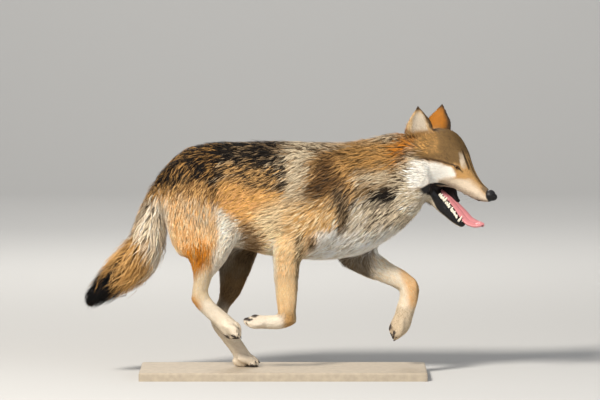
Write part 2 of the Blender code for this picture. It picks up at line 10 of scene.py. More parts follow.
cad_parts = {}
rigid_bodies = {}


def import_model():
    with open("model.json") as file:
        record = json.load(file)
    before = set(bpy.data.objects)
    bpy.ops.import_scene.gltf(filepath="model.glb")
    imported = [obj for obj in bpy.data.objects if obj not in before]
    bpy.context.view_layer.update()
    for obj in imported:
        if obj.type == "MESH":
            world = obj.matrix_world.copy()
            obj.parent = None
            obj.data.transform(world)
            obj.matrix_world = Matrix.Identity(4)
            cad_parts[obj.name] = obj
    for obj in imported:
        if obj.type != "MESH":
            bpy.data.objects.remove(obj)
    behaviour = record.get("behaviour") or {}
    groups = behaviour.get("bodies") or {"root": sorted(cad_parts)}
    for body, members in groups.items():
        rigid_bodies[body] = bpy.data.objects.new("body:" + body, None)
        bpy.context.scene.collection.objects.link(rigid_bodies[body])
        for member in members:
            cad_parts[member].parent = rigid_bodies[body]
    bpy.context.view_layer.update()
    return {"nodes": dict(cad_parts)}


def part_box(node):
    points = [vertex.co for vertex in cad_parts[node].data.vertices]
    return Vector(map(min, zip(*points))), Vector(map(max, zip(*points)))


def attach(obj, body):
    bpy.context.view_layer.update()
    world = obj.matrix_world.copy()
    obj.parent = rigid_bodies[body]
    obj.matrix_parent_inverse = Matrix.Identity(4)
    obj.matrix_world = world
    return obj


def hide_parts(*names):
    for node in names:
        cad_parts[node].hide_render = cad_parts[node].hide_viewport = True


for leftover in list(bpy.data.objects):
    bpy.data.objects.remove(leftover)
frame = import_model()
nodes = frame["nodes"]
scene = bpy.context.scene
print("frame loaded")

# camera, floor and light
camera = {"middle": (0.05, 0.0, 0.53), "above": 3.5, "away": 16.0, "lens": 320.0}
floor = {"size": 60.0, "behind": 9.0, "wall": 12.0, "curve": 4.0, "color": (0.50, 0.495, 0.48)}
lights = {
    "sunSoft": {"place": (-2.6, -4.6, 4.6), "size": 1.5, "watts": 560, "color": (1.0, 0.95, 0.88)},
    "fill": {"place": (4.0, -4.0, 1.8), "size": 4.0, "watts": 60, "color": (0.90, 0.95, 1.0)},
    "rim": {"place": (-1.0, 4.0, 3.6), "size": 3.0, "watts": 120, "color": (1.0, 0.97, 0.92)},
    "backdrop": {"place": (0.0, 4.5, 5.0), "aim": (0.0, 9.0, 1.8), "size": 4.0, "watts": 150,
                 "color": (1.0, 0.99, 0.97)},
}
sky = {"color": (0.96, 0.97, 1.0), "strength": 0.44}

view = bpy.data.cameras.new("camera")
view.lens, view.sensor_width = camera["lens"], 36.0
view.clip_end = 200.0
scene.camera = bpy.data.objects.new("camera", view)
scene.collection.objects.link(scene.camera)
rise = math.radians(camera["above"])
back = Vector((0, -math.cos(rise), math.sin(rise)))
scene.camera.location = Vector(camera["middle"]) + back * camera["away"]
scene.camera.rotation_euler = (-back).to_track_quat("-Z", "Y").to_euler()

for name, values in lights.items():
    lamp = bpy.data.lights.new(name, "AREA")
    lamp.shape, lamp.size = "DISK", values["size"]
    lamp.energy, lamp.color = values["watts"], values["color"]
    holder = bpy.data.objects.new(name, lamp)
    scene.collection.objects.link(holder)
    holder.location = values["place"]
    aim = Vector(values.get("aim", camera["middle"])) - holder.location
    holder.rotation_euler = aim.to_track_quat("-Z", "Y").to_euler()

scene.world = bpy.data.worlds.new("sky")
scene.world.use_nodes = True
glow = scene.world.node_tree.nodes["Background"]
glow.inputs["Color"].default_value = (*sky["color"], 1.0)
glow.inputs["Strength"].default_value = sky["strength"]
scene.view_settings.view_transform = "Standard"


def pickOnly(thing):
    if bpy.context.mode != "OBJECT":
        bpy.ops.object.mode_set(mode="OBJECT")
    bpy.ops.object.select_all(action="DESELECT")
    thing.select_set(True)
    bpy.context.view_layer.objects.active = thing
    return thing


def modify(thing, kind, **settings):
    pickOnly(thing)
    made = thing.modifiers.new(kind.title(), kind)
    for key, value in settings.items():
        setattr(made, key, value)
    bpy.ops.object.modifier_apply(modifier=made.name)


def addNew(primitive, **settings):  # a primitive, with nothing else selected
    bpy.ops.object.select_all(action="DESELECT")
    primitive(**settings)
    return bpy.context.object


def onWholeMesh(step, **settings):  # an edit mode operator on all of the active piece
    bpy.ops.object.mode_set(mode="EDIT")
    bpy.ops.mesh.select_all(action="SELECT")
    step(**settings)
    bpy.ops.object.mode_set(mode="OBJECT")


def pointsOf(mesh):
    flat = np.empty(len(mesh.vertices) * 3, np.float32)
    mesh.vertices.foreach_get("co", flat)
    return flat.reshape(-1, 3).astype(float)


def setPoints(mesh, points):
    mesh.vertices.foreach_set("co", points.astype(np.float32).ravel())
    mesh.update()


def normalsOf(mesh):
    flat = np.empty(len(mesh.vertices) * 3, np.float32)
    mesh.vertex_normals.foreach_get("vector", flat)
    return flat.reshape(-1, 3).astype(float)


def edgesOf(mesh):
    flat = np.empty(len(mesh.edges) * 2, np.int32)
    mesh.edges.foreach_get("vertices", flat)
    return flat.reshape(-1, 2)


def writeTones(mesh, colors):
    layer = mesh.color_attributes.new("tone", "FLOAT_COLOR", "POINT")
    opaque = np.concatenate([colors, np.ones((len(colors), 1))], 1)
    layer.data.foreach_set("color", opaque.astype(np.float32).ravel())


def writeLayer(mesh, name, kind, domain, values):  # kind: FLOAT or FLOAT_VECTOR
    layer = mesh.attributes.new(name, kind, domain)
    layer.data.foreach_set("value" if kind == "FLOAT" else "vector", values.astype(np.float32).ravel())


def unit(vectors):
    return vectors / np.maximum(np.linalg.norm(vectors, axis=-1, keepdims=True), 1e-9)


def dot(a, b):
    return np.sum(a * b, axis=-1, keepdims=True)


def soft(low, high, value):
    t = np.clip((value - low) / (high - low), 0, 1)
    return t * t * (3 - 2 * t)


rng = np.random.default_rng(1643)
lattice = rng.random((32, 32, 32))


def cloud(points, size, layer=0):  # smooth noise from 0 to 1 with lumps of that size
    q = points / size + 5.3 * layer
    low = np.floor(q).astype(int)
    t = q - low
    t = t * t * (3 - 2 * t)
    a, b = low & 31, (low + 1) & 31
    total = 0
    for i in (0, 1):
        x = b[:, 0] if i else a[:, 0]
        wx = t[:, 0] if i else 1 - t[:, 0]
        for j in (0, 1):
            y = b[:, 1] if j else a[:, 1]
            wy = t[:, 1] if j else 1 - t[:, 1]
            for k in (0, 1):
                z = b[:, 2] if k else a[:, 2]
                wz = t[:, 2] if k else 1 - t[:, 2]
                total = total + wx * wy * wz * lattice[x, y, z]
    return total


# the head's own frame: eyes at its origin, muzzle along +x, the wolf's left along +y
headPlace = {"eyes": (0.532, -0.058, 0.634), "nod": 24.0, "turn": 27.0}
headFrame = (
    Matrix.Translation(headPlace["eyes"])
    @ Matrix.Rotation(math.radians(-headPlace["turn"]), 4, "Z")
    @ Matrix.Rotation(math.radians(headPlace["nod"]), 4, "Y")
)
headTurn = np.array(headFrame.to_3x3())
headZero = np.array(headPlace["eyes"])


def fromHead(points):
    return np.asarray(points, float) @ headTurn.T + headZero


def toHead(points):
    return (points - headZero) @ headTurn


# Guides run the way the hair lies. Each point: x, y, z, hair length and coat depth in mm.
bodyGuides = {
    "spine": [(0.39, 0, 0.715, 50, 16), (0.27, 0, 0.705, 56, 18), (0.13, 0, 0.70, 52, 16),
        (-0.05, 0, 0.705, 48, 14), (-0.20, 0, 0.705, 50, 14), (-0.31, 0, 0.672, 50, 14),
        (-0.368, 0, 0.605, 48, 13)],
    "neckSide": [(0.38, 0.085, 0.665, 44, 14), (0.24, 0.09, 0.615, 52, 17), (0.10, 0.10, 0.555, 46, 14),
        (-0.04, 0.10, 0.505, 38, 11), (-0.16, 0.09, 0.47, 34, 10)],
    "neckLow": [(0.38, 0.07, 0.55, 44, 13), (0.29, 0.08, 0.47, 48, 15), (0.22, 0.08, 0.40, 44, 13)],
    "throat": [(0.44, -0.02, 0.53, 30, 9), (0.38, 0, 0.45, 46, 14), (0.29, 0, 0.385, 50, 15),
        (0.16, 0, 0.35, 44, 12), (0.0, 0, 0.352, 36, 9), (-0.16, 0, 0.39, 30, 8)],
    "ribs": [(0.06, 0.10, 0.64, 44, 14), (-0.02, 0.10, 0.575, 34, 12), (-0.12, 0.09, 0.53, 27, 10)],
    "flankLow": [(0.03, 0.10, 0.46, 32, 9), (-0.07, 0.095, 0.425, 30, 9), (-0.15, 0.075, 0.395, 28, 8)],
    "rump": [(-0.10, 0.08, 0.665, 42, 13), (-0.21, 0.08, 0.615, 36, 12), (-0.28, 0.08, 0.54, 29, 11),
        (-0.29, 0.08, 0.46, 26, 9)],
    "buttock": [(-0.335, 0.055, 0.62, 40, 12), (-0.352, 0.055, 0.53, 36, 11), (-0.335, 0.055, 0.45, 32, 10),
        (-0.30, 0.06, 0.385, 26, 7)],
    "tailTop": [(-0.375, 0, 0.58, 50, 13), (-0.408, 0, 0.50, 56, 17), (-0.44, 0, 0.43, 64, 20),
        (-0.50, 0, 0.372, 66, 21), (-0.552, 0, 0.31, 60, 18), (-0.585, 0, 0.24, 46, 12)],
    "tailUnder": [(-0.345, 0, 0.545, 44, 11), (-0.352, 0, 0.46, 60, 16), (-0.362, 0, 0.39, 70, 20),
        (-0.402, 0, 0.31, 70, 21), (-0.47, 0, 0.252, 62, 19), (-0.55, 0, 0.225, 44, 12)],
    "forelegRight": [(0.21, -0.09, 0.60, 46, 13), (0.14, -0.10, 0.50, 38, 10), (0.08, -0.10, 0.42, 28, 7),
        (0.025, -0.09, 0.355, 20, 4.5), (0.012, -0.067, 0.28, 13, 2.4), (0.010, -0.065, 0.20, 11, 2.0),
        (0.0, -0.064, 0.175, 9, 1.6), (-0.06, -0.062, 0.168, 8, 1.5), (-0.13, -0.062, 0.168, 6, 1.2)],
    "forelegLeft": [(0.22, 0.09, 0.60, 46, 13), (0.24, 0.10, 0.50, 38, 10), (0.235, 0.10, 0.42, 28, 7),
        (0.245, 0.08, 0.345, 20, 4.5), (0.30, 0.065, 0.313, 13, 2.4), (0.356, 0.056, 0.285, 11, 2.0),
        (0.376, 0.053, 0.255, 10, 1.8), (0.37, 0.05, 0.205, 9, 1.6), (0.36, 0.048, 0.165, 8, 1.5),
        (0.345, 0.046, 0.10, 6, 1.2)],
    "hindlegRight": [(-0.25, -0.09, 0.56, 40, 11), (-0.245, -0.09, 0.47, 34, 9),
        (-0.235, -0.09, 0.40, 26, 7), (-0.232, -0.074, 0.345, 18, 4), (-0.24, -0.067, 0.30, 13, 2.6),
        (-0.25, -0.06, 0.25, 10, 2.0), (-0.245, -0.056, 0.228, 9, 1.8), (-0.185, -0.053, 0.175, 8, 1.6),
        (-0.15, -0.052, 0.14, 7, 1.4), (-0.115, -0.052, 0.11, 6, 1.2)],
    "hindlegLeft": [(-0.22, 0.09, 0.56, 40, 11), (-0.19, 0.09, 0.47, 34, 9), (-0.16, 0.09, 0.40, 26, 7),
        (-0.15, 0.069, 0.34, 18, 4), (-0.152, 0.06, 0.29, 13, 2.6), (-0.168, 0.05, 0.235, 10, 2.0),
        (-0.19, 0.043, 0.188, 9, 1.8), (-0.186, 0.039, 0.15, 8, 1.6), (-0.15, 0.034, 0.098, 7, 1.4),
        (-0.12, 0.031, 0.06, 7, 1.4), (-0.06, 0.031, 0.04, 6, 1.2)],
}
headGuides = {
    "bridge": [(0.115, 0, -0.02, 4, 1.0), (0.06, 0, 0.0, 5, 1.2), (0.02, 0, 0.032, 7, 1.6),
        (-0.02, 0, 0.062, 10, 2.2), (-0.07, 0, 0.085, 12, 2.8), (-0.12, 0, 0.080, 20, 4.6),
        (-0.17, 0, 0.06, 38, 10)],
    "brow": [(0.02, 0.028, 0.015, 5, 1.2), (-0.02, 0.045, 0.030, 9, 2), (-0.07, 0.062, 0.045, 11, 2.4),
        (-0.13, 0.07, 0.03, 24, 6)],
    "muzzle": [(0.115, 0.018, -0.045, 4, 1.0), (0.06, 0.034, -0.045, 5, 1.2), (0.0, 0.048, -0.038, 8, 1.8),
        (-0.05, 0.078, -0.04, 16, 4), (-0.10, 0.10, -0.055, 30, 8), (-0.15, 0.11, -0.08, 40, 12)],
    "lip": [(0.10, 0.02, -0.062, 4, 0.9), (0.03, 0.035, -0.062, 5, 1.1), (-0.03, 0.05, -0.072, 7, 1.5),
        (-0.07, 0.08, -0.09, 16, 4)],
    "jaw": [(0.07, 0.010, -0.163, 5, 1.2), (0.0, 0.03, -0.145, 7, 1.6), (-0.05, 0.045, -0.125, 12, 3),
        (-0.10, 0.07, -0.12, 26, 7)],
    "ear": [(-0.128, 0.050, 0.035, 12, 1.8), (-0.145, 0.062, 0.07, 5.5, 0.6),
        (-0.172, 0.088, 0.135, 4, 0.4)],
}

guideRows = []  # start, way to the end, (length, depth) at the start and at the end, guide's name
for table, carry in ((bodyGuides, np.asarray), (headGuides, fromHead)):
    for name, points in table.items():
        for side in (1, -1):
            if name.endswith(("Right", "Left")) and side < 0:
                continue
            rows = np.array(points, float)
            if side < 0:
                rows[:, 1] *= -1
                if carry is np.asarray and not np.any(np.abs(rows[:, 1]) > 0.004):
                    continue
            at = carry(rows[:, :3])
            for i in range(len(rows) - 1):
                sizes = rows[i:i + 2, 3:] / 1000
                guideRows.append((at[i], at[i + 1] - at[i], sizes[0], sizes[1], name))
guideBlur = 0.012


def readGuides(points):  # which way the hair lies there, its length and depth, and the nearest guide
    way, size = np.zeros_like(points), np.zeros((len(points), 2))
    total, nearest = np.zeros((len(points), 1)), np.full(len(points), 9.0)
    owner = np.zeros(len(points), int)
    for k, (start, run, first, last, name) in enumerate(guideRows):
        t = np.clip((points - start) @ run / (run @ run), 0, 1)[:, None]
        gap = np.linalg.norm(points - start - t * run, axis=1)
        weight = (1 / (gap**2 + guideBlur**2) ** 2)[:, None]
        way += weight * run / np.linalg.norm(run)
        size += weight * (first + (last - first) * t)
        total += weight
        closer = gap < nearest
        nearest[closer], owner[closer] = gap[closer], k
    return unit(way), size / total, owner


def spread(values, edges, times, share=0.5):  # averages each point's values with its neighbours'
    a, b = edges.T
    n = len(values)
    count = np.maximum(np.bincount(np.concatenate([a, b]), minlength=n), 1)[:, None]
    for _ in range(times):
        near = [np.bincount(a, v[b], n) + np.bincount(b, v[a], n) for v in values.T]
        values = (1 - share) * values + share * np.stack(near, 1) / count
    return values


# feet: knuckles, the way the toes point, out of the foot's back, and how far the toes reach
feet = {"foreleg_right": ((-0.076, -0.062, 0.167), (-1.0, 0, 0.02), (0.05, 0, -1.0), 0.042),
        "foreleg_left": ((0.352, 0.046, 0.154), (-0.28, 0, -0.96), (0.96, 0, -0.28), 0.050),
        "hindleg_right": ((-0.164, -0.052, 0.152), (0.80, 0, -0.60), (0.60, 0, 0.80), 0.046),
        "hindleg_left": ((-0.122, 0.031, 0.049), (0.985, 0, -0.17), (0.17, 0, 0.985), 0.048)}
boardTop = 0.0262  # where the standing paw's sole lies
# pads: past the toes' tips, place across in toes, half length, half width
toeMake = {"places": (-1.5, -0.5, 0.5, 1.5), "spacing": 0.0175, "fan": 0.05, "swell": 0.0022,
           "groove": 0.0034, "grooveWidth": 0.0024, "padSwell": 0.0016, "outerShorter": 0.010,
           "pads": [(-0.034, 0.0, 0.0120, 0.0165)] + [(-0.010, p, 0.0085, 0.0062) for p in (-0.5, 0.5)]
                   + [(-0.019, p, 0.0080, 0.0058) for p in (-1.5, 1.5)]}


# along the toes, across them and out of the back, from the knuckles, and what belongs to the foot
def inFoot(foot, points):
    knuckles, way, back, reach = feet[foot]
    way, back = unit(np.array(way, float)), unit(np.array(back, float))
    off = points - np.array(knuckles)
    along, across, out = off @ way, off[:, 1], off @ back
    own = (along > -0.03) & (along < reach + 0.022) & (np.abs(across) < 0.05) & (np.abs(out) < 0.027)
    return along, across, out, own


def toeTurns(along, across):  # place across in toes: a toe's middle is at a half
    return across / (toeMake["spacing"] + toeMake["fan"] * np.maximum(along, 0))


skinMake = {"grain": 0.003, "overlap": 0.0006, "softenings": 4, "triangles": 80000,
            "thickest": 0.12, "shareOfThickness": 0.15}
# middle and reach of the places whose skin keeps its fine grain
fineBalls = [((0.56, -0.07, 0.61), 0.145), ((0.35, 0.05, 0.14), 0.09), ((-0.10, -0.062, 0.165), 0.09),
             ((-0.15, -0.055, 0.15), 0.08), ((-0.11, 0.033, 0.06), 0.08)]

separate = ("stand_base", "tongue", "eye_left", "eye_right", "nose")
flesh = sorted(n for n in nodes if n not in separate)
bpy.ops.object.select_all(action="DESELECT")
copies = []
for name in flesh + ["eye_left", "eye_right", "nose"]:  # the lids open the filled sockets again
    copy = nodes[name].copy()
    copy.data = nodes[name].data.copy()
    copy.parent = None
    if "foot" in name:  # the claws are pieces of their own
        raw = pointsOf(copy.data)
        if name == "forefoot_right":  # its toes stay clear of the hind foot
            raw[:, 0] += 0.009 * soft(-0.085, -0.13, raw[:, 0])
        foot = name.replace("foot", "leg")
        _, way, _, reach = feet[foot]
        along, across, _, _ = inFoot(foot, raw)
        past = along - reach + 0.002 + toeMake["outerShorter"] * (np.abs(across) > toeMake["spacing"])
        raw -= unit(np.array(way, float)) * (np.maximum(past, 0) * 0.9)[:, None]
        setPoints(copy.data, raw)
    scene.collection.objects.link(copy)
    copy.select_set(True)
    copies.append(copy)
skin = bpy.context.view_layer.objects.active = copies[0]
bpy.ops.object.join()
skin.name = skin.data.name = "skin"
for key in list(skin.keys()):
    del skin[key]
skin.data.materials.clear()
while skin.data.uv_layers:
    skin.data.uv_layers.remove(skin.data.uv_layers[0])
onWholeMesh(bpy.ops.mesh.remove_doubles, threshold=0.00001)
onWholeMesh(bpy.ops.mesh.normals_make_consistent, inside=False)
setPoints(skin.data, pointsOf(skin.data) + normalsOf(skin.data) * skinMake["overlap"])
modify(skin, "REMESH", mode="VOXEL", voxel_size=skinMake["grain"])
pickOnly(skin)
bpy.ops.object.mode_set(mode="EDIT")
bpy.ops.mesh.separate(type="LOOSE")
bpy.ops.object.mode_set(mode="OBJECT")
shells = sorted(bpy.context.selected_objects, key=lambda o: len(o.data.vertices))
skin = shells.pop()
for speck in shells:
    bpy.data.objects.remove(speck)
skin.name = skin.data.name = "skin"
modify(skin, "SMOOTH", factor=0.5, iterations=skinMake["softenings"])
print("skin joined", len(skin.data.vertices))

outline = pointsOf(skin.data)
edges = edgesOf(skin.data)
outward = unit(spread(normalsOf(skin.data), edges, 12))
_, hair, _ = readGuides(outline)
depth = spread(hair[:, 1:], edges, 20)


def nearEyes(points, reach):
    gap = np.full(len(points), 9.0)
    for name in ("eye_left", "eye_right"):
        low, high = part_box(name)
        gap = np.minimum(gap, np.linalg.norm(points - np.array((low + high) / 2), axis=1))
    return 1 - soft(reach * 0.8, reach * 1.6, gap)


depth = depth * (1 - 0.7 * nearEyes(outline, 0.014)[:, None])
# thin forms such as the ears are drawn in by no more than a part of their thickness
thin = np.full((len(outline), 1), skinMake["thickest"])
for i, (place, inward) in enumerate(zip(outline - outward * 0.0008, -outward)):
    hit, far, _, _ = skin.ray_cast(place, inward, distance=skinMake["thickest"])
    if hit:
        thin[i] = np.linalg.norm(np.array(far) - place)
depth = spread(np.minimum(depth, skinMake["shareOfThickness"] * spread(thin, edges, 3)), edges, 3)
setPoints(skin.data, outline - outward * depth)
modify(skin, "SMOOTH", factor=0.5, iterations=2)

fineness = skin.vertex_groups.new(name="plain")
shrunk = pointsOf(skin.data)
plain = np.full(len(shrunk), 1.0)
for middle, reach in fineBalls:
    plain = np.minimum(plain, np.linalg.norm(shrunk - np.array(middle), axis=1) > reach)
fineness.add([int(i) for i in np.flatnonzero(plain > 0)], 1.0, "REPLACE")
fineness.add([int(i) for i in np.flatnonzero(plain == 0)], 0.0, "REPLACE")
modify(skin, "DECIMATE", vertex_group="plain", vertex_group_factor=1.0,
       ratio=skinMake["triangles"] / (2 * len(skin.data.polygons)))
print("skin under the coat", len(skin.data.vertices), len(skin.data.polygons))

# finer mesh where the face has its small forms, then the forms themselves
faceMake = {"middle": (0.03, 0, -0.03), "fine": 0.115, "calm": 0.11, "eyes": 0.019}


def refine(chosen):  # chosen: one truth value for each vertex
    pickOnly(skin)
    bpy.ops.object.mode_set(mode="EDIT")
    bpy.ops.mesh.select_all(action="DESELECT")
    bm = bmesh.from_edit_mesh(skin.data)
    for face in bm.faces:
        face.select_set(all(chosen[v.index] for v in face.verts))
    bmesh.update_edit_mesh(skin.data)
    bpy.ops.mesh.subdivide(number_cuts=1)
    bpy.ops.object.mode_set(mode="OBJECT")


def faceGap(points):  # how far they are from the face's middle
    return np.linalg.norm(toHead(points) - np.array(faceMake["middle"]), axis=1)


points = pointsOf(skin.data)
chosen = faceGap(points) < faceMake["fine"]
for foot in feet:
    along, _, _, own = inFoot(foot, points)
    chosen |= own & (along > 0.0)
refine(chosen)
refine(nearEyes(pointsOf(skin.data), faceMake["eyes"]) > 0.5)
points = pointsOf(skin.data)
calm = spread(points, edgesOf(skin.data), 3)
share = (faceGap(points) < faceMake["calm"])[:, None]
points = points + (calm - points) * share
calm = spread(points, edgesOf(skin.data), 4)
for foot, (_, _, _, reach) in feet.items():
    along, _, _, own = inFoot(foot, points)
    share = (own * soft(reach - 0.020, reach - 0.006, along))[:, None]
    points = points + (calm - points) * share
setPoints(skin.data, points)

# toes with grooves between them, and pads underneath
around = normalsOf(skin.data)
pads, toeCreaseShade = np.zeros(len(points)), np.zeros(len(points))
for foot, (_, _, back, reach) in feet.items():
    along, across, out, own = inFoot(foot, points)
    up = around @ unit(np.array(back, float))
    turns = toeTurns(along, across)
    beside = np.abs(turns - np.round(turns))
    toes = own * soft(reach - 0.046, reach - 0.022, along)
    crease = np.exp(-(beside * toeMake["spacing"] / toeMake["grooveWidth"]) ** 2)
    crease = crease * (np.abs(turns) < 1.4) * toes
    lump = toeMake["swell"] * soft(0.0, 0.4, beside) * toes
    lump = lump * (1 - 0.8 * soft(0.5, 0.9, np.abs(around[:, 1])))
    pad = np.zeros(len(points))
    for ahead, place, long, wide in toeMake["pads"]:
        gap = np.hypot((along - reach - ahead) / long, (turns - place) * toeMake["spacing"] / wide)
        pad = np.maximum(pad, soft(1.25, 0.85, gap))
    pad = pad * own * soft(-0.15, -0.45, up)
    form = lump - toeMake["groove"] * crease * (1 - pad) + toeMake["padSwell"] * pad
    points = points + around * form[:, None]
    pads, toeCreaseShade = np.maximum(pads, pad), np.maximum(toeCreaseShade, crease * (1 - pad))
along, across, out, own = inFoot("hindleg_left", points)
sole = np.where(own, points[:, 2], 9.0).min()
# the standing paw bears on the board
points[:, 2] += (boardTop - sole) * soft(0.075, 0.040, points[:, 2]) * own
low = np.maximum(points[:, 2] - boardTop, 0)
points[:, 2] = np.where(own, boardTop + low * (0.15 + 0.85 * soft(0.002, 0.013, low)), points[:, 2])
setPoints(skin.data, points)
print("face refined", len(skin.data.vertices), sum(len(p.vertices) - 2 for p in skin.data.polygons))


def push(points, forms):  # soft pushes: place, reach, move; the right side mirrors the left
    for place, reach, move in forms:
        for side in (1, -1) if place[1] else (1,):
            gap = np.linalg.norm(points - np.array(place) * (1, side, 1), axis=1)
            points = points + np.exp(-(gap / reach) ** 2)[:, None] * np.array(move) * (1, side, 1)
    return points


faceForms = {  # in the head's frame
    "stop": ((0.006, 0, 0.040), 0.016, (0.0, 0, -0.0025)),
    "furrow": ((-0.030, 0, 0.070), 0.010, (0.0, 0, -0.0018)),
    "brow": ((-0.010, 0.030, 0.030), 0.013, (0.001, 0.001, 0.003)),
    "innerCorner": ((0.020, 0.024, 0.006), 0.010, (-0.001, -0.0022, 0)),
    "underEye": ((0.004, 0.044, -0.018), 0.011, (0, -0.0012, 0)),
    "cheekbone": ((-0.038, 0.064, -0.010), 0.020, (0, 0.002, 0)),
    "muzzleSide": ((0.050, 0.034, -0.030), 0.018, (0, -0.0018, 0)),
    "whiskerPad": ((0.088, 0.028, -0.050), 0.014, (0.0005, 0.0025, 0)),
    "bridge": ((0.060, 0.0, -0.004), 0.014, (0, 0, 0.001)),
}
local = push(toHead(pointsOf(skin.data)), faceForms.values())

# ears: wider than their solids, and the left one turned so that its back shows
earShape = {"root": (-0.131, 0.050, 0.018), "tip": (-0.168, 0.084, 0.124), "opens": (0.50, 0.86, 0.10),
            "widen": 1.24, "narrow": 0.42, "turn": {1: 42.0, -1: 0.0}}
ears = {}
for side in (1, -1):
    root, tip, opens = (np.array(earShape[key]) * (1, side, 1) for key in ("root", "tip", "opens"))
    up = unit(tip - root)
    opens = unit(opens - up * (opens @ up))
    across = unit(np.cross(up, opens)) * side
    off = local - root
    high, beside, front = off @ up, off @ across, off @ opens
    near = soft(0.006, 0.034, high) * soft(0.058, 0.044, np.abs(beside)) * soft(0.036, 0.024, np.abs(front))
    near = near * (high < 0.16)
    angle = math.radians(earShape["turn"][side])
    wide = beside * (1 + (earShape["widen"] - 1 - earShape["narrow"] * soft(0.062, 0.112, high)) * near)
    cosine, sine = np.cos(angle * near), np.sin(angle * near)
    local = local + across * (wide * cosine + front * sine - beside)[:, None] \
        + opens * (front * cosine - wide * sine - front)[:, None]
    cosine, sine = math.cos(angle), math.sin(angle)
    ears[side] = (root, up, across * cosine - opens * sine, opens * cosine + across * sine)

# even lips
calm = spread(local, edgesOf(skin.data), 24)
onLips = soft(-0.052, -0.060, local[:, 2]) * soft(-0.098, -0.088, local[:, 2])
onLips = onLips * soft(0.0, 0.015, local[:, 0])
local = local + (calm - local) * (0.9 * onLips * soft(0.125, 0.112, local[:, 0]))[:, None]

# teeth in the head's frame: x, z, y, length, radius and half length; the skin is flat under them
teethMake = {
    "upper": {"way": (0.05, 0, -1), "slope": 0.0, "row": [
        (0.095, -0.0570, 0.0155, 0.0085, 0.0036, 0.0), (0.074, -0.0580, 0.0185, 0.0065, 0.0028, 0.0036),
        (0.060, -0.0580, 0.0205, 0.0070, 0.0030, 0.0042), (0.045, -0.0570, 0.0215, 0.0070, 0.0030, 0.0048),
        (0.027, -0.0570, 0.0235, 0.0072, 0.0034, 0.0060), (0.1035, -0.0550, 0.0095, 0.0058, 0.0026, 0.0),
        (0.1050, -0.0560, 0.0032, 0.0055, 0.0026, 0.0)]},
    "lower": {"way": (0.42, 0, 0.90), "slope": -0.54, "row": [
        (0.066, -0.1465, 0.0165, 0.0200, 0.0042, 0.0), (0.0535, -0.1385, 0.0180, 0.0065, 0.0028, 0.0034),
        (0.0430, -0.1325, 0.0190, 0.0085, 0.0031, 0.0042), (0.0310, -0.1260, 0.0205, 0.0095, 0.0033, 0.0050),
        (0.0175, -0.1190, 0.0225, 0.0105, 0.0035, 0.0056), (0.0015, -0.1105, 0.0250, 0.0135, 0.0040, 0.0070),
        (-0.0135, -0.1030, 0.0275, 0.0085, 0.0036, 0.0048), (0.0735, -0.1455, 0.0095, 0.0075, 0.0026, 0.0),
        (0.0750, -0.1450, 0.0032, 0.0070, 0.0026, 0.0)]},
}
for rows in teethMake.values():
    away = unit(np.array(rows["way"]))
    for x, z, y, length, radius, _ in rows["row"]:
        for side in (1, -1):
            off = local - (x, y * side, z + (-0.007 if rows is teethMake["upper"] else 0.0))
            along = off @ away
            beside = np.linalg.norm(off - along[:, None] * away, axis=1)
            onTooth = (along > 0.001) & (along < length + 0.006) & (beside < radius + 0.0015)
            local = local - away * np.where(onTooth, along - 0.0005, 0)[:, None]

upperLip = {"edge": -0.0665, "flat": 0.08}  # the skin under its edge is pressed nearly flat
below = local[:, 2] - upperLip["edge"]
under = (local[:, 0] > 0.016) & (local[:, 0] < 0.114) & (below < 0) & (local[:, 2] > -0.088)
local[:, 2] = np.where(under, upperLip["edge"] + upperLip["flat"] * below, local[:, 2])

# lids: the skin lies on the ball all round an almond opening, and goes in behind it inside
eyeMake = {"radius": 0.0118, "looks": (0.62, 0.78, 0.10), "slit": (-0.78, 0.60, 0.24), "lid": 0.0011,
           "inner": 0.0120, "outer": 0.0100, "upper": 0.0044, "lower": 0.0036}
eyes = {}
for name, side in (("eye_left", 1), ("eye_right", -1)):
    low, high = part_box(name)
    middle = toHead(np.array((low + high) / 2)[None])[0]
    gaze = unit(np.array(eyeMake["looks"]) * (1, side, 1))
    slit = np.array(eyeMake["slit"]) * (1, side, 1)
    slit = unit(slit - gaze * (slit @ gaze))
    up = np.cross(gaze, slit) * side
    if up[2] < 0:
        up = -up
    eyes[name] = {"middle": middle, "gaze": gaze, "slit": slit, "up": up}


def lidHeight(along, above):  # half height of the opening at that place along the slit
    length = np.where(along < 0, eyeMake["inner"], eyeMake["outer"])
    arch = np.clip(1 - (along / length) ** 2, 0, 1) ** 0.85
    return arch * np.where(above, eyeMake["upper"], eyeMake["lower"])


def inEye(eye, points):  # off its middle, then along the slit, up and out
    off = points - eye["middle"]
    return off, off @ eye["slit"], off @ eye["up"], off @ eye["gaze"]


for eye in eyes.values():
    off, along, upward, out = inEye(eye, local)
    far = np.linalg.norm(off, axis=1)
    near = (out > 0) & (np.hypot(along, upward) < 0.0165)
    spare = np.abs(upward) - lidHeight(along, upward > 0)
    inside = near & (spare < 0)
    lid = near & ~inside
    cover = eyeMake["radius"] + eyeMake["lid"] * (1 - soft(0.0, 0.005, spare) * 0.4)
    target = far.copy()
    target[lid] = np.maximum(far, cover)[lid]
    target[inside] = eyeMake["radius"] * 0.88
    local = eye["middle"] + off * (target / np.maximum(far, 1e-6))[:, None]
setPoints(skin.data, fromHead(local))
print("lids made")

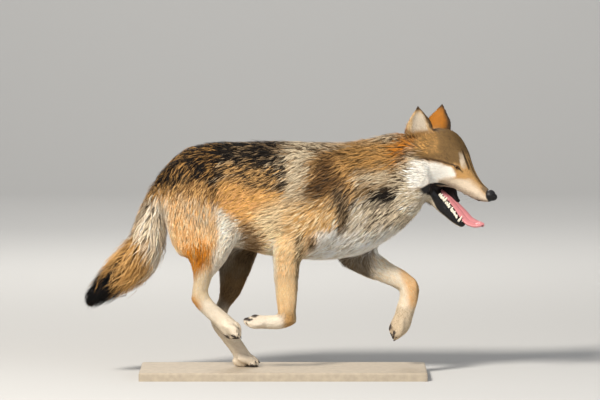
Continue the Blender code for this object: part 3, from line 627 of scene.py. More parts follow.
# the lips' outlines in x and z, in the head's frame
lipTop = [(-0.049, -0.086), (-0.040, -0.070), (-0.022, -0.0615), (0.000, -0.0620), (0.05, -0.0645),
          (0.09, -0.0635), (0.112, -0.0585), (0.128, -0.060), (0.118, -0.080), (0.05, -0.085), (0.0, -0.085),
          (-0.030, -0.095)]
lipLow = [(-0.054, -0.088), (-0.036, -0.074), (-0.010, -0.092), (0.025, -0.113), (0.055, -0.128),
          (0.082, -0.137), (0.095, -0.190), (0.060, -0.190), (0.028, -0.172), (0.004, -0.153),
          (-0.016, -0.135), (-0.036, -0.115), (-0.056, -0.100)]


def within(flat, outline):  # signed distance to an outline's edge, more than 0 inside it
    a = np.array(outline)
    b = np.roll(a, -1, axis=0)
    gap, odd = np.full(len(flat), 9.0), np.zeros(len(flat), bool)
    for (ax, az), (bx, bz) in zip(a, b):
        run = np.array((bx - ax, bz - az))
        off = flat - (ax, az)
        t = np.clip(off @ run / (run @ run), 0, 1)
        gap = np.minimum(gap, np.linalg.norm(off - t[:, None] * run, axis=1))
        crosses = (az > flat[:, 1]) != (bz > flat[:, 1])
        where = (bx - ax) * (flat[:, 1] - az) / (bz - az if bz != az else 1e-9) + ax
        odd ^= crosses & (flat[:, 0] < where)
    return np.where(odd, gap, -gap)


def insideMouth(points, normals):
    tree = BVHTree.FromObject(skin, bpy.context.evaluated_depsgraph_get())
    local = toHead(points)
    found = np.zeros(len(points))
    box = (local[:, 0] > -0.075) & (local[:, 0] < 0.112) & (np.abs(local[:, 1]) < 0.05)
    box &= (local[:, 2] > -0.165) & (local[:, 2] < -0.055)
    for i in np.flatnonzero(box):
        away = Vector(normals[i])
        hit = tree.ray_cast(Vector(points[i]) + away * 0.002, away, 0.085)
        if hit[0] is not None and abs(away @ Vector(headTurn[:, 1])) < 0.8:
            found[i] = 1
    return found


points, normals = pointsOf(skin.data), normalsOf(skin.data)
local = toHead(points)
edges = edgesOf(skin.data)
mouth = spread(insideMouth(points, normals)[:, None], edges, 2)[:, 0]
flat = local[:, [0, 2]]
lips = np.maximum(soft(-0.001, 0.001, within(flat, lipTop)), soft(-0.0015, 0.0015, within(flat, lipLow)))
lips *= (np.abs(local[:, 1]) < 0.10) * soft(-0.92, -0.75, (normals @ headTurn)[:, 2])
lidRim = np.zeros(len(points))
for eye in eyes.values():
    _, along, upward, out = inEye(eye, local)
    spare = np.abs(upward) - lidHeight(along, upward > 0)
    spare = np.maximum(spare, np.hypot(along, upward) - 0.0125)
    lidRim = np.maximum(lidRim, (out > 0) * (1 - soft(0.0010, 0.0022, spare)))
noseBare = 1 - soft(0.020, 0.023, np.linalg.norm((local - (0.124, 0, -0.038)) * (1, 0.95, 1.1), axis=1))
bare = np.max([mouth > 0.5, lips, lidRim, noseBare, pads], axis=0)
print("bare places found")

# colors of the coat and its markings, from 0 to 255
coatColors = {
    "black": (26, 21, 17), "tipBlack": (8, 6, 4), "soot": (58, 46, 33), "brown": (112, 80, 46),
    "grayBrown": (150, 124, 92), "tan": (206, 160, 100), "ochre": (172, 128, 72), "olive": (130, 101, 62),
    "gold": (212, 160, 90), "rust": (204, 124, 30), "deepRust": (150, 84, 28), "peach": (230, 174, 114),
    "cream": (236, 208, 164), "white": (246, 232, 212), "pale": (224, 204, 174),
    "cheekWhite": (255, 246, 232), "foreLight": (246, 200, 144), "gray": (200, 182, 152),
    "shade": (112, 90, 60), "earOrange": (160, 102, 34), "earGray": (184, 166, 140),
    "muzzleGray": (205, 186, 166), "skinBlack": (22, 20, 20), "mouthPink": (120, 58, 56), "pad": (58, 50, 46),
}


def linear(name):
    share = np.array(coatColors[name]) / 255
    return np.where(share <= 0.04045, share / 12.92, ((share + 0.055) / 1.055) ** 2.4)


# Each marking: outline in x and z, edge blur and raggedness in mm, main color, streak color and its share.
bodyMarks = {
    # belly and its brown patch: a darker underside, partly its own colour and partly painted shade
    "belly": ([(-0.22, 0.43), (-0.14, 0.42), (-0.05, 0.40), (0.05, 0.40), (0.12, 0.36), (0.12, 0.30),
        (-0.22, 0.30)], 20, 14, "grayBrown", "cream", 0.35),
    "flankGold": ([(-0.230, 0.589), (-0.183, 0.605), (-0.111, 0.595), (-0.045, 0.572), (-0.012, 0.536),
        (-0.050, 0.49), (-0.117, 0.465), (-0.183, 0.478), (-0.218, 0.520)], 26, 14, "gold", "peach", 0.35),
    "paleStreaks": ([(-0.085, 0.50), (0.005, 0.540), (0.060, 0.530), (0.066, 0.453), (0.038, 0.412),
        (-0.022, 0.405), (-0.075, 0.430)], 26, 16, "cream", "grayBrown", 0.15),
    "bellyBrown": ([(-0.138, 0.469), (-0.085, 0.455), (-0.055, 0.42), (-0.050, 0.335), (-0.064, 0.330),
        (-0.142, 0.330)], 16, 12, "grayBrown", "brown", 0.36),
    "saddle": ([(-0.411, 0.511), (-0.42, 0.561), (-0.40, 0.614), (-0.36, 0.70), (-0.28, 0.75), (-0.16, 0.76),
        (-0.005, 0.76), (0.004, 0.683), (0.011, 0.631), (0.010, 0.581), (0.004, 0.548), (-0.016, 0.566),
        (-0.063, 0.574), (-0.114, 0.588), (-0.159, 0.597), (-0.194, 0.590), (-0.200, 0.53), (-0.216, 0.520),
        (-0.227, 0.578), (-0.254, 0.589), (-0.293, 0.601), (-0.332, 0.595), (-0.369, 0.568),
        (-0.393, 0.532)], 9, 10, "black", "gray", 0.15),
    "saddleCore": ([(-0.190, 0.690), (-0.17, 0.75), (0.020, 0.75), (0.022, 0.656), (0.006, 0.638),
        (-0.064, 0.641), (-0.115, 0.62), (-0.154, 0.596), (-0.178, 0.614), (-0.150, 0.650)], 9, 8, "black",
        "grayBrown", 0.18),
    "saddleLow": ([(-0.225, 0.635), (-0.12, 0.640), (-0.02, 0.622), (0.0, 0.585), (-0.063, 0.566),
        (-0.114, 0.578), (-0.159, 0.590)], 16, 14, "soot", "tan", 0.50),
    "rumpGrizzle": ([(-0.411, 0.511), (-0.42, 0.561), (-0.40, 0.614), (-0.35, 0.70), (-0.27, 0.75),
        (-0.18, 0.690), (-0.200, 0.592), (-0.278, 0.578), (-0.323, 0.565), (-0.362, 0.540), (-0.393, 0.500)],
        11, 10, "black", "ochre", 0.20),
    "cape": ([(0.004, 0.75), (0.060, 0.75), (0.110, 0.700), (0.090, 0.654), (0.070, 0.61), (0.060, 0.566),
        (0.070, 0.540), (0.045, 0.515), (0.006, 0.525), (0.012, 0.625), (0.006, 0.683)], 12, 12, "gray",
        "grayBrown", 0.12),
    "withers": ([(0.010, 0.76), (0.14, 0.76), (0.30, 0.76), (0.349, 0.75), (0.350, 0.700), (0.289, 0.688),
        (0.184, 0.668), (0.110, 0.668), (0.014, 0.682)], 10, 8, "gray", "soot", 0.45),
    "shoulderPeach": ([(0.014, 0.53), (0.185, 0.53), (0.164, 0.485), (0.14, 0.425), (0.095, 0.395),
        (0.02, 0.395), (0.0, 0.455)], 26, 12, "tan", "cream", 0.35),
    "shoulderDark": ([(0.110, 0.690), (0.152, 0.668), (0.164, 0.614), (0.185, 0.575), (0.170, 0.545),
        (0.125, 0.536), (0.086, 0.530), (0.062, 0.542), (0.074, 0.590), (0.092, 0.635)], 26, 12, "brown",
        "soot", 0.34),
    "neckGold": ([(0.145, 0.665), (0.185, 0.695), (0.304, 0.70), (0.36, 0.72), (0.41, 0.70), (0.41, 0.62),
        (0.36, 0.585), (0.312, 0.592), (0.247, 0.592), (0.200, 0.600), (0.170, 0.643)], 20, 14, "ochre",
        "olive", 0.30),
    "earBaseRust": ([(0.335, 0.712), (0.384, 0.715), (0.390, 0.64), (0.354, 0.630), (0.325, 0.667)], 18, 10,
        "rust", "brown", 0.42),
    "neckPale": ([(0.215, 0.613), (0.300, 0.620), (0.350, 0.605), (0.345, 0.575), (0.277, 0.572),
        (0.220, 0.570)], 16, 12, "gray", "grayBrown", 0.40),
    "neckMottled": ([(0.185, 0.540), (0.248, 0.540), (0.386, 0.556), (0.400, 0.464), (0.335, 0.436),
        (0.200, 0.430), (0.180, 0.455)], 16, 12, "pale", "soot", 0.27),
    "neckLight": ([(0.200, 0.536), (0.245, 0.530), (0.250, 0.485), (0.230, 0.458), (0.200, 0.464)], 14, 10,
        "gray", "white", 0.40),
    "neckUpright": ([(0.149, 0.568), (0.191, 0.556), (0.204, 0.515), (0.188, 0.455), (0.164, 0.434),
        (0.150, 0.485)], 12, 12, "grayBrown", "soot", 0.50),
    "neckDark": ([(0.225, 0.572), (0.284, 0.562), (0.310, 0.585), (0.346, 0.575), (0.356, 0.536),
        (0.305, 0.518), (0.240, 0.520)], 14, 12, "black", "gray", 0.15),
    "ruff": ([(0.366, 0.608), (0.401, 0.596), (0.393, 0.485), (0.377, 0.470), (0.368, 0.530)], 8, 6, "gray",
        "white", 0.45),
    "throatShade": ([(0.397, 0.580), (0.44, 0.57), (0.42, 0.485), (0.392, 0.455)], 10, 6, "shade",
        "grayBrown", 0.35),
    "chestWhite": ([(0.05, 0.372), (0.098, 0.425), (0.139, 0.452), (0.205, 0.442), (0.301, 0.447),
        (0.40, 0.45), (0.41, 0.36), (0.30, 0.30), (0.065, 0.28)], 18, 16, "cheekWhite", "gray", 0.15),
    "elbowDark": ([(0.038, 0.415), (0.080, 0.421), (0.100, 0.405), (0.086, 0.392), (0.044, 0.398)], 9, 6,
        "brown", "soot", 0.35),
    "thighPeach": ([(-0.400, 0.532), (-0.29, 0.54), (-0.21, 0.53), (-0.20, 0.42), (-0.24, 0.34),
        (-0.36, 0.34), (-0.40, 0.44)], 24, 14, "peach", "cream", 0.35),
    "thighBrown": ([(-0.375, 0.560), (-0.293, 0.577), (-0.227, 0.566), (-0.212, 0.525), (-0.236, 0.520),
        (-0.290, 0.540), (-0.350, 0.545), (-0.381, 0.540)], 16, 14, "tan", "brown", 0.50),
    "thighGray": ([(-0.302, 0.540), (-0.230, 0.524), (-0.212, 0.50), (-0.215, 0.450), (-0.248, 0.460),
        (-0.290, 0.490)], 22, 14, "gray", "peach", 0.40),
    "flankEdge": ([(-0.231, 0.575), (-0.211, 0.580), (-0.197, 0.515), (-0.214, 0.507)], 5, 6, "brown",
        "gold", 0.35),
    "rust": ([(-0.290, 0.400), (-0.236, 0.415), (-0.214, 0.385), (-0.225, 0.339), (-0.248, 0.285),
        (-0.262, 0.240), (-0.300, 0.240), (-0.305, 0.295), (-0.292, 0.357)], 16, 8, "rust", "tan", 0.35),
    "rustDeep": ([(-0.262, 0.380), (-0.240, 0.385), (-0.231, 0.36), (-0.246, 0.333), (-0.262, 0.340)], 12, 6,
        "rust", "deepRust", 0.40),
    "thighWhite": ([(-0.212, 0.515), (-0.194, 0.510), (-0.150, 0.470), (-0.118, 0.393), (-0.150, 0.347),
        (-0.178, 0.30), (-0.188, 0.253), (-0.190, 0.229), (-0.221, 0.234), (-0.227, 0.29), (-0.211, 0.351),
        (-0.198, 0.418), (-0.198, 0.471)], 12, 7, "white", "pale", 0.20),
    "shank": ([(-0.262, 0.310), (-0.235, 0.330), (-0.205, 0.300), (-0.205, 0.19), (-0.31, 0.17),
        (-0.31, 0.215)], 14, 6, "cream", "white", 0.25),
    "tailPale": ([(-0.424, 0.515), (-0.387, 0.532), (-0.335, 0.520), (-0.330, 0.344), (-0.372, 0.250),
        (-0.411, 0.300), (-0.441, 0.359), (-0.447, 0.424), (-0.436, 0.476)], 16, 10, "pale", "white", 0.25),
    "tailGold": ([(-0.440, 0.425), (-0.411, 0.347), (-0.385, 0.25), (-0.461, 0.18), (-0.515, 0.18),
        (-0.560, 0.23), (-0.575, 0.320), (-0.514, 0.400)], 18, 14, "ochre", "tan", 0.50),
    "tailEdge": ([(-0.383, 0.550), (-0.403, 0.515), (-0.421, 0.466), (-0.445, 0.420), (-0.500, 0.384),
        (-0.550, 0.327), (-0.585, 0.271), (-0.62, 0.26), (-0.60, 0.36), (-0.514, 0.43), (-0.46, 0.46),
        (-0.45, 0.52), (-0.42, 0.58)], 8, 6, "soot", "tan", 0.42),
    "tailTip": ([(-0.64, 0.16), (-0.62, 0.34), (-0.548, 0.325), (-0.512, 0.290), (-0.486, 0.250),
        (-0.480, 0.17)], 6, 8, "tipBlack", "black", 0.20),
    "forelegNear": ([(-0.06, 0.43), (0.07, 0.42), (0.065, 0.20), (-0.06, 0.20)], 14, 4, "foreLight", "cream",
        0.30),
    "pawsNear": ([(-0.16, 0.205), (-0.04, 0.203), (0.000, 0.185), (0.0, 0.12), (-0.16, 0.12)], 12, 4,
        "white", "pale", 0.30),
    # the near foreleg's dark front edge: mostly painted shade, partly a darker stripe of its own
    "forelegFront": ([(0.034, 0.44), (0.062, 0.44), (0.056, 0.240), (0.049, 0.150), (0.030, 0.160),
        (0.036, 0.236)], 4, 3, "shade", "cream", 0.40),
    "forelegRear": ([(-0.045, 0.43), (-0.015, 0.416), (-0.020, 0.296), (-0.022, 0.182), (-0.06, 0.182),
        (-0.05, 0.319)], 7, 4, "white", "cream", 0.30),
    "forelegFar": ([(0.148, 0.372), (0.2, 0.345), (0.267, 0.360), (0.335, 0.340), (0.42, 0.32), (0.42, 0.08),
        (0.30, 0.08), (0.31, 0.22), (0.248, 0.24), (0.15, 0.28)], 10, 8, "white", "cream", 0.35),
    "wristFar": ([(0.345, 0.325), (0.42, 0.31), (0.41, 0.18), (0.385, 0.17), (0.370, 0.26)], 10, 4, "peach",
        "cream", 0.35),
    "pawFar": ([(0.32, 0.205), (0.41, 0.205), (0.40, 0.06), (0.30, 0.06)], 12, 6, "pale", "grayBrown", 0.22),
    # the far pastern's darker front edge: partly a line of its own, partly painted shade
    "pasternFar": ([(0.400, 0.285), (0.42, 0.285), (0.415, 0.13), (0.388, 0.13), (0.402, 0.22)], 5, 3, "tan",
        "grayBrown", 0.40),
    "hindPaws": ([(-0.285, 0.215), (-0.235, 0.232), (-0.18, 0.222), (-0.10, 0.165), (-0.03, 0.10),
        (-0.03, 0.02), (-0.20, 0.02), (-0.28, 0.17)], 12, 6, "white", "pale", 0.45),
    "hock": ([(-0.300, 0.240), (-0.260, 0.247), (-0.245, 0.217), (-0.262, 0.185), (-0.300, 0.185)], 10, 5,
        "tan", "rust", 0.35),
}
headMarks = {  # the same, in the head's frame
    "cheekBack": ([(-0.19, 0.03), (-0.10, 0.0), (-0.085, -0.03), (-0.085, -0.085), (-0.08, -0.14),
        (-0.19, -0.14)], 12, 12, "gray", "soot", 0.30),
    "crown": ([(-0.16, 0.010), (-0.16, 0.10), (-0.067, 0.12), (-0.010, 0.09), (0.020, 0.050), (0.018, 0.018),
        (-0.010, 0.008), (-0.040, 0.004), (-0.070, 0.0), (-0.115, -0.022)], 9, 8, "olive", "soot", 0.22),
    "templeGold": ([(-0.15, 0.05), (-0.13, -0.01), (-0.09, 0.005), (-0.055, 0.02), (-0.07, 0.05),
        (-0.10, 0.06)], 14, 8, "olive", "gold", 0.30),
    "cheek": ([(-0.104, -0.088), (-0.108, -0.036), (-0.080, -0.012), (-0.045, 0.000), (-0.005, -0.007),
        (0.012, -0.020), (0.0, -0.046), (-0.020, -0.052), (-0.032, -0.068), (-0.052, -0.092),
        (-0.085, -0.100)], 6, 6, "cheekWhite", "cheekWhite", 0.35),
    "muzzle": ([(0.0, -0.036), (0.030, -0.020), (0.060, -0.018), (0.100, -0.034), (0.14, -0.04),
        (0.14, -0.09), (-0.03, -0.09), (-0.03, -0.05)], 9, 4, "pale", "muzzleGray", 0.50),
    "underEye": ([(0.006, -0.012), (0.018, -0.008), (0.034, -0.002), (0.052, -0.010), (0.042, -0.019),
        (0.016, -0.023)], 8, 5, "ochre", "tan", 0.45),
    "lipGray": ([(-0.03, -0.052), (0.0, -0.048), (0.05, -0.050), (0.09, -0.050), (0.14, -0.050),
        (0.14, -0.09), (-0.03, -0.09)], 5, 4, "muzzleGray", "grayBrown", 0.35),
    "jawUnder": ([(-0.11, -0.10), (-0.045, -0.10), (0.09, -0.15), (0.09, -0.19), (-0.11, -0.19)], 8, 5,
        "gray", "white", 0.35),
}
sideMarks = {  # the same, for only part of the head's width: least and greatest distance from its middle
    "bridge": ([(-0.01, 0.10), (0.0, 0.035), (0.04, -0.004), (0.07, -0.020), (0.12, -0.035), (0.13, 0.05)],
        5, 3, "olive", "tan", 0.40, 0.0, 0.013),
    "bridgeLine": ([(0.010, 0.10), (0.015, 0.020), (0.06, -0.02), (0.12, -0.045), (0.13, 0.05)], 3, 2,
        "soot", "brown", 0.25, 0.0, 0.0032),
    "bridgeEnd": ([(0.085, 0.02), (0.092, -0.035), (0.14, -0.05), (0.14, 0.02)], 6, 2, "grayBrown", "soot",
        0.30, 0.0, 0.020),
    "browSpot": ([(-0.004, 0.040), (0.006, 0.043), (0.016, 0.028), (0.021, 0.010), (0.013, 0.006),
        (0.004, 0.018)], 7, 4, "pale", "muzzleGray", 0.40, 0.022, 0.037),
    "browLine": ([(-0.024, 0.064), (-0.016, 0.070), (0.016, 0.040), (0.036, 0.006), (0.028, 0.000),
        (0.006, 0.030)], 3, 2, "soot", "brown", 0.25, 0.0135, 0.0200),
    "furrow": ([(-0.10, 0.12), (-0.02, 0.10), (0.004, 0.060), (-0.02, 0.03), (-0.10, 0.05)], 3, 2, "brown",
        "olive", 0.40, 0.0, 0.0030),
    "eyeLine": ([(-0.006, 0.008), (-0.040, 0.006), (-0.068, 0.001), (-0.100, -0.016), (-0.100, -0.022),
        (-0.066, -0.005), (-0.040, 0.001), (-0.008, 0.002)], 2.5, 2, "soot", "brown", 0.30, 0.030, 0.14),
    "betweenEars": ([(-0.16, 0.05), (-0.105, 0.05), (-0.098, 0.12), (-0.16, 0.12)], 6, 5, "soot", "brown",
        0.25, 0.0, 0.030),
    "tearLine": ([(0.010, 0.004), (0.026, -0.003), (0.025, -0.006), (0.010, -0.001)], 2.5, 1, "soot",
        "brown", 0.20, 0.012, 0.05),
}


def lay(mix, main, streak, share, cover):  # one marking over those before it
    mix["main"] += (linear(main) - mix["main"]) * cover[:, None]
    mix["streak"] += (linear(streak) - mix["streak"]) * cover[:, None]
    mix["share"] += (share - mix["share"]) * cover


def paint(mix, flat, shift, outline, blur, rag, main, streak, share, limit=1.0):
    edge = within(flat + shift[:, [0, 2]] * rag / 1000, outline)
    lay(mix, main, streak, share, soft(-blur / 1000, blur / 1000, edge) * limit)


plainCoat = {"main": "tan", "streak": "brown", "share": 0.28}  # where no marking lies
# painted shade on the legs' inner sides up under the body: how dark it is and how much it covers
innerLegShade = {"depth": 0.55, "cover": 0.85}
# an ear's half width at each height
earHalf = {"high": (0.04, 0.06, 0.08, 0.10, 0.12), "half": (0.033, 0.029, 0.025, 0.015, 0.004)}


def readMarks(points, normals):  # main color, streak color and the streaks' share at each point
    count = len(points)
    local, turned = toHead(points), normals @ headTurn
    lumps = [cloud(points, 0.022, k) + 0.5 * cloud(points, 0.009, k + 3) for k in range(3)]
    shift = 2 * np.stack(lumps, 1) - 1.5
    mix = {key: np.tile(linear(plainCoat[key]), (count, 1)) for key in ("main", "streak")}
    mix["share"] = np.full(count, plainCoat["share"])
    for values in bodyMarks.values():
        paint(mix, points[:, [0, 2]], shift, *values)
    # painted shade: the legs' inner sides, facing the middle, are darkened toward the shade colour with soot
    # streaks
    inner = soft(0.0, 0.6, -normals[:, 1] * np.sign(points[:, 1])) * soft(0.42, 0.36, points[:, 2])
    inner *= np.where(points[:, 0] < 0.1, soft(0.15, 0.22, points[:, 2]) * (points[:, 0] < -0.04),
                      soft(0.290, 0.250, points[:, 0]) * soft(0.26, 0.30, points[:, 2]))
    mix["main"] += (linear("shade") * innerLegShade["depth"] - mix["main"]) * innerLegShade["cover"] * inner[:, None]
    mix["streak"] += (linear("soot") - mix["streak"]) * innerLegShade["cover"] * inner[:, None]
    onHead = soft(-0.16, -0.115, local[:, 0]) * (np.linalg.norm(local, axis=1) < 0.22)
    for values in headMarks.values():
        paint(mix, local[:, [0, 2]], shift, *values, limit=onHead)
    for *values, least, most in sideMarks.values():
        aside = np.abs(local[:, 1]) + shift[:, 1] * 0.001
        band = soft(least - 0.002, least + 0.001, aside) * soft(most + 0.002, most - 0.002, aside)
        paint(mix, local[:, [0, 2]], shift, *values, limit=onHead * band)
    # ears: orange backs, pale hair inside, dark forward rims
    for root, up, across, opens in ears.values():
        off = local - root
        high, aside, out = off @ up, off @ across, off @ opens
        onEar = soft(0.030, 0.045, high) * (np.abs(aside) < 0.06) * (np.abs(out) < 0.035)
        onEar = onEar * (np.linalg.norm(off, axis=1) < 0.2)
        inside = soft(0.0, 0.4, turned @ opens) * onEar
        forward = np.sign(across[0])
        half = np.interp(high, earHalf["high"], earHalf["half"])
        edge = soft(0.25, 0.60, (turned @ across) * forward) * soft(0.012, 0.035, high)
        edge = edge * soft(0.004, 0.012, aside * forward)
        rim = np.maximum(edge, inside * soft(-0.006, -0.003, aside * forward - half) * soft(0.04, 0.05, high))
        for color, streak, share, cover in (
            ("earOrange", "rust", 0.28, onEar * soft(0.02, 0.05, high)),
            ("tan", "cream", 0.50, inside * soft(0.044, 0.034, np.abs(aside))),
            ("earGray", "white", 0.42,
             inside * soft(-0.004, -0.011, np.abs(aside) - half) * soft(0.104, 0.088, high)),
            ("soot", "brown", 0.25, onEar * np.maximum(soft(0.094, 0.110, high), rim)),
        ):
            lay(mix, color, streak, share, cover)
    return mix


# ground, clump and width: a size in meters, and more of it for each meter of hair
coatMake = {"triangles": 1360000, "shortest": 0.017, "sunk": 0.0010, "ground": (0.00085, 0.040),
            "clump": (0.0016, 0.095), "width": (0.00028, 0.0100), "widths": (0.75, 1.25), "swing": 0.16,
            "lengths": (0.85, 1.12), "reaches": (0.8, 1.08), "lifts": (0.45, 1.0), "straying": (0.04, 1.25),
            "fringe": {"tailUnder": 1.0, "throat": 0.6, "tailTop": 0.6}, "fringeLonger": 0.25,
            "fringeLift": 0.75, "bow": 0.9, "apart": (0.80, 0.30), "waver": 0.04, "off": 0.005, "lean": 1.1}
toneMake = {"at": 0.55, "jump": 0.30, "alone": 0.22, "tuft": 0.10, "clump": 0.15, "lumps": 0.25,
            "lumpSize": 0.05, "range": (0.004, 0.95)}


def trianglesOf(mesh):
    mesh.calc_loop_triangles()
    found = []
    for kind in ("vertices", "loops"):
        flat = np.empty(len(mesh.loop_triangles) * 3, np.int32)
        mesh.loop_triangles.foreach_get(kind, flat)
        found.append(flat.reshape(-1, 3))
    return found


pickOnly(skin)
onWholeMesh(bpy.ops.uv.smart_project, angle_limit=math.radians(66), island_margin=0.001)
skin.data.uv_layers[0].name = "unwrap"
print("skin unwrapped")

corners, cornerLoops = trianglesOf(skin.data)
flat = np.empty(len(skin.data.loops) * 2, np.float32)
skin.data.uv_layers[0].data.foreach_get("uv", flat)
loopPlaces = flat.reshape(-1, 2).astype(float)
skinPoints = pointsOf(skin.data)
skinNormals = unit(spread(normalsOf(skin.data), edges, 2))
way, size, owner = readGuides(skinPoints)
way = unit(way - skinNormals * dot(way, skinNormals))
way = spread(way, edges, 6)
way = unit(way - skinNormals * dot(way, skinNormals))
size = spread(size, edges, 4)
first, second, third = (skinPoints[corners[:, k]] for k in range(3))
areas = np.linalg.norm(np.cross(second - first, third - first), axis=1) / 2
bareFace = bare[corners].mean(1)
lengthFace = size[corners, 0].mean(1)
tree = kdtree.KDTree(len(skinPoints))
for i, p in enumerate(skinPoints):
    tree.insert(p, i)
tree.balance()


def groundOf(kind, length):  # the ground that one tuft or clump has to itself
    return (coatMake[kind][0] + coatMake[kind][1] * length) ** 2


def scatter(weights, count):  # evenly spread draws: triangle and its three corner shares
    steps = np.cumsum(weights) / np.sum(weights)
    at = (np.arange(count) + rng.random(count)) / count
    chosen = np.minimum(np.searchsorted(steps, at), len(weights) - 1)
    u, v = rng.random(count), rng.random(count)
    root = np.sqrt(u)
    return chosen, np.stack([1 - root, root * (1 - v), root * v], 1)


def blend(values, chosen, shares):
    return np.einsum("ij,ijk->ik", shares, values[corners[chosen]])


def nearest(points):
    return np.array([tree.find(p)[1] for p in points])


weights = areas * (bareFace < 0.5) / groundOf("ground", lengthFace)
trianglesEach = np.where(lengthFace > coatMake["shortest"], 10, 4)
count = int(coatMake["triangles"] / (np.sum(weights * trianglesEach) / np.sum(weights)))
print("tufts", count, "wanted by ground", int(np.sum(weights)))
chosen, shares = scatter(weights, count)
roots = blend(skinPoints, chosen, shares)
rootNormals = unit(blend(skinNormals, chosen, shares))
sizes = blend(size, chosen, shares)

weights = areas * (bareFace < 0.6) / groundOf("clump", lengthFace)
clumpCount = int(np.sum(weights))
clumpAt, clumpShares = scatter(weights, clumpCount)
clumpRoot = blend(skinPoints, clumpAt, clumpShares)
clumpSize = blend(size, clumpAt, clumpShares)
print("clumps", clumpCount)


def march(points, normals, ways, step):  # the next place along the coat's lie, on the skin
    moved = points + ways * step[:, None]
    index = nearest(moved + normals * 0.004)
    base, up = skinPoints[index], skinNormals[index]
    kept = (dot(up, normals) < 0.3) & (step[:, None] < 0.014)  # an ear's other side
    up = np.where(kept, normals, up)
    moved = moved - np.where(kept, 0, up * dot(moved - base, up))
    return moved, up, np.where(kept, ways, way[index])


ownerName = np.array([row[4] for row in guideRows])
index = nearest(clumpRoot)
paths = [(clumpRoot, skinNormals[index], way[index])]
swing = rng.normal(0, coatMake["swing"], clumpCount)[:, None]
turnWay = paths[0][2] * np.cos(swing) + np.cross(paths[0][1], paths[0][2]) * np.sin(swing)
length = clumpSize[:, 0] * rng.uniform(*coatMake["lengths"], clumpCount)
paths.append(march(clumpRoot, paths[0][1], turnWay, length * 0.5))
onward = unit(paths[1][2] + (turnWay - paths[0][2]))
paths.append(march(paths[1][0], paths[1][1], onward, length * 0.5))
print("clump paths")

clumpTree = kdtree.KDTree(clumpCount)
for i, p in enumerate(clumpRoot):
    clumpTree.insert(p + paths[0][1][i] * coatMake["off"], i)  # so that an ear's two sides keep apart
clumpTree.balance()
clump = np.array([clumpTree.find(p)[1] for p in roots + rootNormals * coatMake["off"]])
offset = roots - clumpRoot[clump]
lift = rng.uniform(*coatMake["lifts"], count)
lift[rng.random(count) < coatMake["straying"][0]] *= coatMake["straying"][1]
rootOwner = ownerName[owner[nearest(roots)]]
fringe = np.zeros(count)
for name, share in coatMake["fringe"].items():
    fringe[rootOwner == name] = share
reach = length[clump] * rng.uniform(*coatMake["reaches"], count) * (1 + coatMake["fringeLonger"] * fringe)
lift = lift * (1 + coatMake["fringeLift"] * fringe * rng.uniform(0, 1, count))
ratio = (reach / length[clump])[:, None]
high = (sizes[:, 1] * lift)[:, None]
mid = paths[1][0][clump] + paths[1][1][clump] * high * coatMake["bow"] + offset * coatMake["apart"][0]
end = paths[2][0][clump] + paths[2][1][clump] * high + offset * coatMake["apart"][1]
end = mid + (end - mid) * ratio + rng.normal(0, coatMake["waver"], (count, 3)) * reach[:, None]
start = roots - rootNormals * coatMake["sunk"]
isLong = sizes[:, 0] > coatMake["shortest"]
print("tufts laid")

# colors are read where the hair shows, past the middle of its length
clumpLuck = rng.random(clumpCount)
alone = rng.random(count)
together = np.clip(clumpLuck[clump] + (alone - 0.5) * 0.3, 0, 1)
luck = np.where(rng.random(count) < toneMake["alone"], alone, together)
jump = rng.normal(0, toneMake["jump"], clumpCount)[clump][:, None]  # clumps reach into the next marking
shown = roots + (paths[2][0][clump] - clumpRoot[clump]) * (toneMake["at"] + jump)
mix = readMarks(shown, rootNormals)
pick = soft(-0.04, 0.04, mix["share"] - luck)[:, None]
tone = mix["main"] * (1 - pick) + mix["streak"] * pick
clumpLight = rng.normal(0, toneMake["clump"], clumpCount)[clump][:, None] * soft(0.012, 0.035, sizes[:, :1])
lumps = (cloud(roots, toneMake["lumpSize"], 9)[:, None] - 0.5) * toneMake["lumps"]
tone = tone * (1 + rng.normal(0, toneMake["tuft"], (count, 1)) + clumpLight + lumps)
tone = np.clip(tone, *toneMake["range"])
print("colors read")
# which guides' hair makes up each piece of the coat
pieceOf = {"spine": "back", "neckSide": "side", "neckLow": "chest", "throat": "chest", "ribs": "side",
           "flankLow": "side", "rump": "rump", "buttock": "rump", "tailTop": "tail", "tailUnder": "tail",
           "forelegRight": "foreleg_right", "forelegLeft": "foreleg_left", "hindlegRight": "hindleg_right",
           "hindlegLeft": "hindleg_left", **{name: "head" for name in headGuides}}
piece = np.array([pieceOf[name] for name in rootOwner])
for name in ("head", "back", "side", "rump"):
    here = piece == name
    piece = np.where(here & (roots[:, 1] > 0), name + "_left", np.where(here, name + "_right", piece))
wide = (coatMake["width"][0] + coatMake["width"][1] * sizes[:, 0]) * rng.uniform(*coatMake["widths"], count)
rootPlaces = np.clip(np.einsum("ij,ijk->ik", shares, loopPlaces[cornerLoops[chosen]]), 0.002, 0.998)


def ring(at, direction, normal, half):  # three corners of a tuft: left, right and ridge
    side = unit(np.cross(normal, direction))
    return at + side * half, at - side * half, at + np.cross(direction, side) * half * 0.7


# shading normals of those corners, near the skin's, so that the coat shades as one surface
def leans(direction, normal):
    side = unit(np.cross(normal, direction))
    upward = normal * coatMake["lean"]
    return np.stack([unit(upward + side), unit(upward - side), normal], 1)


# root colors darkened as painted shade between the hairs, and the tip's color; a tuft's patch of the bake
# map: half width, height, the ridge's drop
tuftMake = {"rootWidth": 0.75, "rootShade": 0.86, "rootShadeMore": 0.40, "tip": 1.04, "patch": (0.0015, 0.003),
            "ridge": -0.12}


